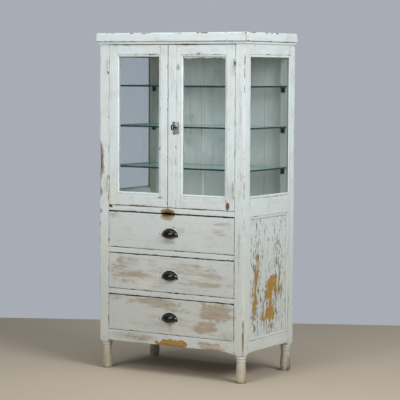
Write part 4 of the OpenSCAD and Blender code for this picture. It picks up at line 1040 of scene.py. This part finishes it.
# ------------------------------------------------------------------ doors
def door(tag, X, O, seeds, strip=False):
    """Stiles, rails and beads of one door.

    X and O are the outer edges of the door and the edges of its opening; strip is for the door that
    carries the meeting strip."""
    y = (YF, YF + DOOR_T)
    ylip = (YF + PANE_SET + PANE_T, YF + DOOR_T)
    st = {"step": 4.5, "along": 5, "r": 1.3}
    stiles, rails = [], []
    if strip:  # the right door's meeting stile is cut back for the strip
        pts = [(X[0], YF + 8.1, 0.4), (X[0] + STRIP_W, YF + 8.1, 0), (X[0] + STRIP_W + 0.2, YF, 1.2),
               (O[0], YF, 1.0), (O[0], YF + DOOR_T, 0.8), (X[0], YF + DOOR_T, 1.0)]
        stiles.append(length_of(pts, "z", DOOR_Z, step=4.5, along=5, seed=seeds, amount=0.8))
    else:
        stiles.append(board((X[0], O[0]), y, DOOR_Z, "z", seed=seeds, **st))
    stiles.append(board((O[1], X[1]), y, DOOR_Z, "z", seed=seeds + 1, **st))
    for x in ((O[0], O[0] + LIP), (O[1] - LIP, O[1])):
        stiles.append(board(x, ylip, (OPEN_Z[0] + LIP, OPEN_Z[1] - LIP), "z", seed=seeds + 2, r=0.7, step=5))
    for k, z in enumerate(((DOOR_Z[0], OPEN_Z[0]), (OPEN_Z[1], DOOR_Z[1]))):
        rails.append(board((O[0] + 0.05, O[1] - 0.05), y, z, "x", seed=seeds + 3 + k, r_end=0.5, **st))
    for z in ((OPEN_Z[0], OPEN_Z[0] + LIP), (OPEN_Z[1] - LIP, OPEN_Z[1])):
        rails.append(board(O, ylip, z, "x", seed=seeds + 5, r=0.7, step=5))
    wood(f"{tag}_stiles", stiles, PAINT_Z, tag)
    wood(f"{tag}_rails", rails, PAINT_DOOR_X, tag)
    beads = frame_of(lambda o: YF + PANE_SET - o, *O, *OPEN_Z, ovolo(10, PANE_SET - 1.5), seeds + 6)
    wood(f"{tag}_beads", beads, PAINT_BEAD, tag)


STRIP_W = 48.0
door("door_left", LX, LO, 101)
door("door_right", RX, RO, 121, strip=True)
x0, x1 = RX[0], RX[0] + STRIP_W
strip_sec = [(x0, YF + 8, 0.3), (x0, YF, 2.6), (x1 - 1.4, YF, 0.5), (x1, YF + 1.4, 0.4), (x1, YF + 8, 0.3)]
wood("meeting_strip", [length_of(strip_sec, "z", DOOR_Z, step=4, along=5, seed=141, amount=1.0)], PAINT_Z,
     "door_right")

# ------------------------------------------------------------------ drawer fronts
for k, (lo, hi) in zip(LEVELS, DRAWER_BOXES):
    face = board((lo[0], hi[0]), (YF, YF + 22), (lo[2], hi[2]), "x", step=5, along=5, seed=151 + int(hi[2]),
                 r=1.2, wave=0.3)
    wood(f"drawer_{k}_front", [face], PAINT_DRAWER, f"drawer_{k}")


# ------------------------------------------------------------------ cup pulls
def grid(P):
    """Quads over rows of points (row, place, 3), each row closed into a ring."""
    idx = np.arange(P.shape[0] * P.shape[1]).reshape(P.shape[:2])
    idx = np.concatenate([idx, idx[:, :1]], 1)
    return np.stack([idx[:-1, :-1], idx[:-1, 1:], idx[1:, 1:], idx[1:, :-1]], -1).reshape(-1, 4)


def outward(part, centre):
    """Turns the faces so that they look away from a point, or from a point for each face."""
    f = part["v"][part["q"]]
    nrm = np.cross(f[:, 2] - f[:, 0], f[:, 3] - f[:, 1])
    if (nrm * (f.mean(1) - centre)).sum() < 0:
        part["q"] = part["q"][:, ::-1]
    return part


def tube(path, r):
    """A round rod along a list of points."""
    sides = 12
    path = np.array(path, float)
    tan = np.gradient(path, axis=0)
    tan /= np.linalg.norm(tan, axis=1)[:, None]
    a = np.cross(tan, np.array([0, 1.0, 0.03]))
    a /= np.linalg.norm(a, axis=1)[:, None]
    b = np.cross(tan, a)
    w = np.linspace(0, 2 * math.pi, sides, endpoint=False)[None, :, None]
    P = path[:, None] + r * (np.cos(w) * a[:, None] + np.sin(w) * b[:, None])
    q, v = grid(P), P.reshape(-1, 3)
    part = outward({"v": v, "q": q, "c": []}, np.repeat(path, sides, 0)[q].mean(1))
    ends = [list(range(sides)), list(range(len(v) - sides, len(v)))[::-1]]
    part["c"] = ends if part["q"] is q else [c[::-1] for c in ends]
    return part


def cup_pull(zc):
    """A cup cut from a lens of revolution, on a flat rim; its lip hangs lowest in the middle."""
    # height of the lens's axis over the face, radius there, half width, and how far the cup stands out
    AX, R0, HALF, OUT = 9.0, math.hypot(94 / 3, 9.0), 48.0, 24.0
    # the lens's centre lies OFF beyond its axis; it is cut off at the plane of the face, FWD from the axis
    OFF = (HALF**2 + AX**2 - R0**2) / (2 * (R0 - AX))
    RB, FWD = OFF + R0, R0 - 5 - OUT
    na, nf = 61, 26

    def surf(grow):
        rb = RB + grow
        half = math.sqrt(rb**2 - (OFF + FWD) ** 2) - 0.02
        P = np.zeros((na, nf, 3))
        for i in range(na):
            x = half * math.sin(math.pi / 2 * (2 * i / (na - 1) - 1))
            r = math.sqrt(rb**2 - x * x) - OFF
            top = math.acos(min(1, FWD / r))
            cut = 47 / 3 - (100 - math.sqrt(10000 - x * x))
            low = -min(math.asin(min(1, cut / r)), top)
            f = np.linspace(top, low, nf)
            P[i, :, 0] = x
            P[i, :, 1] = np.minimum(YF + FWD - r * np.cos(f), YF - 0.02)
            P[i, :, 2] = zc + r * np.sin(f)
        return P

    outer, inner = surf(-5.0), surf(-7.2)
    skin = np.concatenate([outer, inner[:, ::-1]], 1)  # outer face, over the lip, inner face
    v = skin.reshape(-1, 3)
    w = np.zeros((len(v), 4))
    w[:, 0] = smooth(v[:, 2], zc - 8, zc - 15) * 0.5
    parts = [outward({"v": v, "q": grid(skin), "c": [], "w": w}, np.array([0, YF + 20, zc]))]
    lip = tube(outer[1:-1, -1] + (0, 0.6, 0.5), 1.2)
    lip["w"] = np.tile([0.6, 0, 0, 0], (len(lip["v"]), 1)).astype(float)
    parts.append(lip)
    t = np.linspace(0.02, math.pi - 0.02, 111)
    x = HALF * np.cos(t)
    z = np.sqrt(np.maximum(0, (np.sqrt(RB**2 - x**2) - OFF) ** 2 - AX**2))
    feet = np.array([-11.0, -9.0, -6.0, -3.0, -0.5])
    x = np.concatenate([0 * feet + HALF, x, 0 * feet - HALF])
    z = np.concatenate([feet, z, feet[::-1]])
    dx, dz = np.gradient(x), np.gradient(z)
    n = np.stack([-dz, dx], 1) / np.hypot(dx, dz)[:, None]
    rows = [(0, 0.02), (0, 0.8), (0.4, 1.5), (1.2, 1.8), (3.0, 1.7), (8.0, 1.6), (8.0, 0.02)]
    P = np.array([[(px + nx * a, YF - h, zc + pz + nz * a) for a, h in rows]
                  for px, pz, (nx, nz) in zip(x, z, n)])
    m = len(rows)
    rim = {"v": P.reshape(-1, 3), "q": grid(P),
           "c": [list(range(m)), list(range(len(x) * m - m, len(x) * m))[::-1]]}
    rim = outward(rim, np.array([0, YF + 0.9, zc + 10]))
    rim["w"] = np.tile([0, 1.0, 0, 0], (len(rim["v"]), 1)).astype(float)
    parts.append(rim)
    for s in (-1, 1):  # screws under the cup
        ring = np.linspace(0, 2 * math.pi, 20, endpoint=False)
        rows = [(3.0, 1.4), (3.0, 2.0), (2.4, 2.5), (1.2, 2.8), (0.05, 2.9)]
        P = np.array([[(s * 33 + r * math.cos(t), YF - h, zc + 4 + r * math.sin(t)) for t in ring]
                      for r, h in rows])
        parts.append(outward({"v": P.reshape(-1, 3), "q": grid(P), "c": [list(range(20))]},
                             np.array([s * 33, YF + 2, zc + 4])))
    return parts


for k, zc in zip(LEVELS, PULL_Z):
    make(f"drawer_{k}_pull_old", cup_pull(zc), IRON_GLOSS, f"drawer_{k}", f"drawer_{k}_pull")

# ------------------------------------------------------------------ glass
for k in LEVELS:
    lo, hi = mm(f"shelf_{k}")
    c = [(lo[1], lo[2], 1.2), (hi[1], lo[2], 1.2), (hi[1], hi[2], 1.2), (lo[1], hi[2], 1.2)]
    part = length_of(c, "x", (lo[0], hi[0]), step=20, along=20, r_end=1.2, seed=171, amount=0.0, wave=0.0)
    part["w"][:] = 0
    mid = part["v"][part["q"]].mean(1)
    near = 0.9  # a face this near the plate's outline is part of its ground edge
    at_front_or_back = np.abs(mid[:, 1] - (lo[1] + hi[1]) / 2) > (hi[1] - lo[1]) / 2 - near
    edge = at_front_or_back | (np.abs(mid[:, 0]) > hi[0] - near)
    ob = make(f"shelf_{k}_glass", [part], [SHELF, SHELF_EDGE], "carcass", f"shelf_{k}")
    idx = np.ones(len(ob.data.polygons), np.int32)
    idx[: len(edge)] = edge
    ob.data.polygons.foreach_set("material_index", idx)
side_glass = []
for s in (-1, 1):
    p = board(xs(s, HW - REBATE, HW - 6), (IYF - 7, IYB + 7), (SM_TOP + PLAY, ST_BOT - PLAY), "z",
              r=0.3, r_end=0.3, step=40, along=60, seed=175, amount=0.0, wave=0.0)
    p["w"][:] = 0
    side_glass.append(p)
make("side_panes_glass", side_glass, PANE, "carcass", "side_panes")


# ------------------------------------------------------------------ CAD nodes that stay, refinished
def dress(material, bevel, *nodes):
    """The CAD shape with softened edges and a detailed material; bevel is in millimetres."""
    for node in nodes:
        ob = NODES[node]
        ob.data.materials.clear()
        ob.data.materials.append(material)
        for f in ob.data.polygons:
            f.material_index = 0
        ob.modifiers.new("weld", "WELD").merge_threshold = 0.00001
        b = ob.modifiers.new("bevel", "BEVEL")
        b.width, b.segments, b.limit_method = bevel / 1000, 2, "ANGLE"
        b.angle_limit = math.radians(35)
        b.harden_normals = False


dress(WOOD_X, 1.2, "back_rails")
dress(PAINT_INSIDE, 1.0, "cupboard_floor")
dress(WOOD_Y, 1.0, "drawer_runners", *(f"drawer_{k}_box" for k in LEVELS))
dress(WOOD_X, 0.6, *(f"drawer_{k}_bottom" for k in LEVELS))
dress(HINGE, 0.25, "hinge_leaves_post", "hinge_pins", "door_left_leaves", "door_right_leaves")
dress(IRON_PLAIN, 0.4, "shelf_clips")
dress(IRON, 0.25, "bolt_keepers", "bolt_upper", "bolt_lower", "lock_case", "lock_bolt", "plate_screws")
dress(IRON_GLOSS, 0.4, "key")
dress(STEEL, 0.3, "keyhole_plate")
dress(PANE, 0.2, "door_left_pane", "door_right_pane")


# ------------------------------------------------------------------ paint left on the right-hand pane
def smear(x0, x1, top, deep, y, seed):
    """A thin skin of paint with a ragged lower edge."""
    x = np.linspace(x0, x1, 90)
    p = np.stack([x, 0 * x, 0 * x], 1)
    d = deep * (0.55 + 0.45 * noise(p, 17, seed) + 0.35 * noise(p, 4.5, seed + 2))
    ring = np.concatenate([np.stack([x, top - d], 1), [[x1, top], [x0, top]]])
    n = len(ring)
    v = np.zeros((2, n, 3))
    v[..., 0], v[..., 2] = ring[:, 0], ring[:, 1]
    v[0, :, 1], v[1, :, 1] = y - 0.5, y
    i = np.arange(n)
    j = (i + 1) % n
    return {"v": v.reshape(-1, 3), "q": np.stack([i, i + n, j + n, j], 1),
            "c": [i.tolist(), (i + n)[::-1].tolist()]}


make("pane_paint_smear", [
    smear(RO[0] + 1, RO[1] - 1, OPEN_Z[1] - 0.5, 16, span("door_right_pane", "y")[0] - 0.1, 601),
], PAINT_FINE_X, "door_right")

# ------------------------------------------------------------------ camera, floor, light
yaw, pitch, roll = math.radians(32.60988), math.radians(4.341407), math.radians(0.273268)
fwd = Vector((-math.sin(yaw) * math.cos(pitch), math.cos(yaw) * math.cos(pitch), -math.sin(pitch)))
right = Vector((math.cos(yaw), math.sin(yaw), 0))
up = right.cross(fwd)
r2 = right * math.cos(roll) + up * math.sin(roll)
u2 = up * math.cos(roll) - right * math.sin(roll)
cam_data = bpy.data.cameras.new("camera")
cam = bpy.data.objects.new("camera", cam_data)
scene.collection.objects.link(cam)
cam_data.sensor_width, cam_data.lens = 36.0, 151.52
cam_at = (4.5929, -7.1240, 1.5068)
cam_data.clip_start, cam_data.clip_end = 0.1, 100
rows = [(r2[i], u2[i], -fwd[i], cam_at[i]) for i in range(3)]
cam.matrix_world = Matrix((*rows, (0, 0, 0, 1)))
scene.camera = cam

g = Tree("floor_plain")
pale = g.mix(g.noise(g.pos(), 0.8, 2.0, 0.5), lin(188, 174, 154), lin(196, 183, 164))
FLOOR = g.surface(pale, g.ramp(g.noise(g.pos(), 3.0, 2.0, 0.5), 0.3, 0.7, 0.7, 0.8))
me = bpy.data.meshes.new("floor")
me.from_pydata([(-0.46, -8.48, 0), (7.64, -4.41, 0), (3.6, 3.64, 0), (-4.5, -0.43, 0)], [], [(0, 1, 2, 3)])
me.materials.append(FLOOR)
floor = bpy.data.objects.new("floor", me)
scene.collection.objects.link(floor)
floor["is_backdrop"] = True

world = bpy.data.worlds.new("studio")
world.use_nodes = True
scene.world = world
bg = world.node_tree.nodes["Background"]
bg.inputs["Color"].default_value = (*lin(168, 173, 181), 1)
bg.inputs["Strength"].default_value = 1.0
nt = world.node_tree  # the backdrop is seen at full strength and lights the object more softly
dim = nt.nodes.new("ShaderNodeBackground")
dim.inputs["Color"].default_value = (*lin(176, 182, 190), 1)
dim.inputs["Strength"].default_value = 0.30
path = nt.nodes.new("ShaderNodeLightPath")
both_bg = nt.nodes.new("ShaderNodeMixShader")
nt.links.new(path.outputs["Is Camera Ray"], both_bg.inputs[0])
nt.links.new(dim.outputs[0], both_bg.inputs[1])
nt.links.new(bg.outputs[0], both_bg.inputs[2])
nt.links.new(both_bg.outputs[0], nt.nodes["World Output"].inputs[0])


def soft_light(name, at, to, size, watts, colour=(1, 1, 1), spread=180):
    d = bpy.data.lights.new(name, "AREA")
    d.shape, d.size, d.size_y = "RECTANGLE", size[0], size[1]
    d.energy, d.color, d.spread = watts, colour, math.radians(spread)
    o = bpy.data.objects.new(name, d)
    o.location = at
    o.rotation_euler = (Vector(to) - Vector(at)).to_track_quat("-Z", "Y").to_euler()
    scene.collection.objects.link(o)


soft_light("key", (0.6, -4.2, 3.8), (0, 0, 1.35), (3.0, 2.0), 20.5, (0.99, 1.0, 1.0), 120)
soft_light("spark", (-0.1, -4.4, 3.4), (0, 0, 0.8), (0.34, 0.3), 8.0, (1, 1, 1), 120)
soft_light("fill", (-0.4, -3.8, 1.9), (0.0, 0, 1.45), (1.8, 1.0), 6.6, (0.99, 1.0, 1.0), 80)
soft_light("side", (4.4, -1.4, 3.6), (0, 0, 1.3), (2.4, 2.2), 118, (0.95, 0.99, 1.0), 140)
soft_light("over", (0.2, -0.4, 4.8), (0, 0, 0), (3.0, 3.0), 60, (0.97, 0.99, 1))
scene.view_settings.view_transform = "Standard"
scene.view_settings.look = "None"
scene.cycles.transparent_max_bounces = 24

lo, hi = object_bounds()
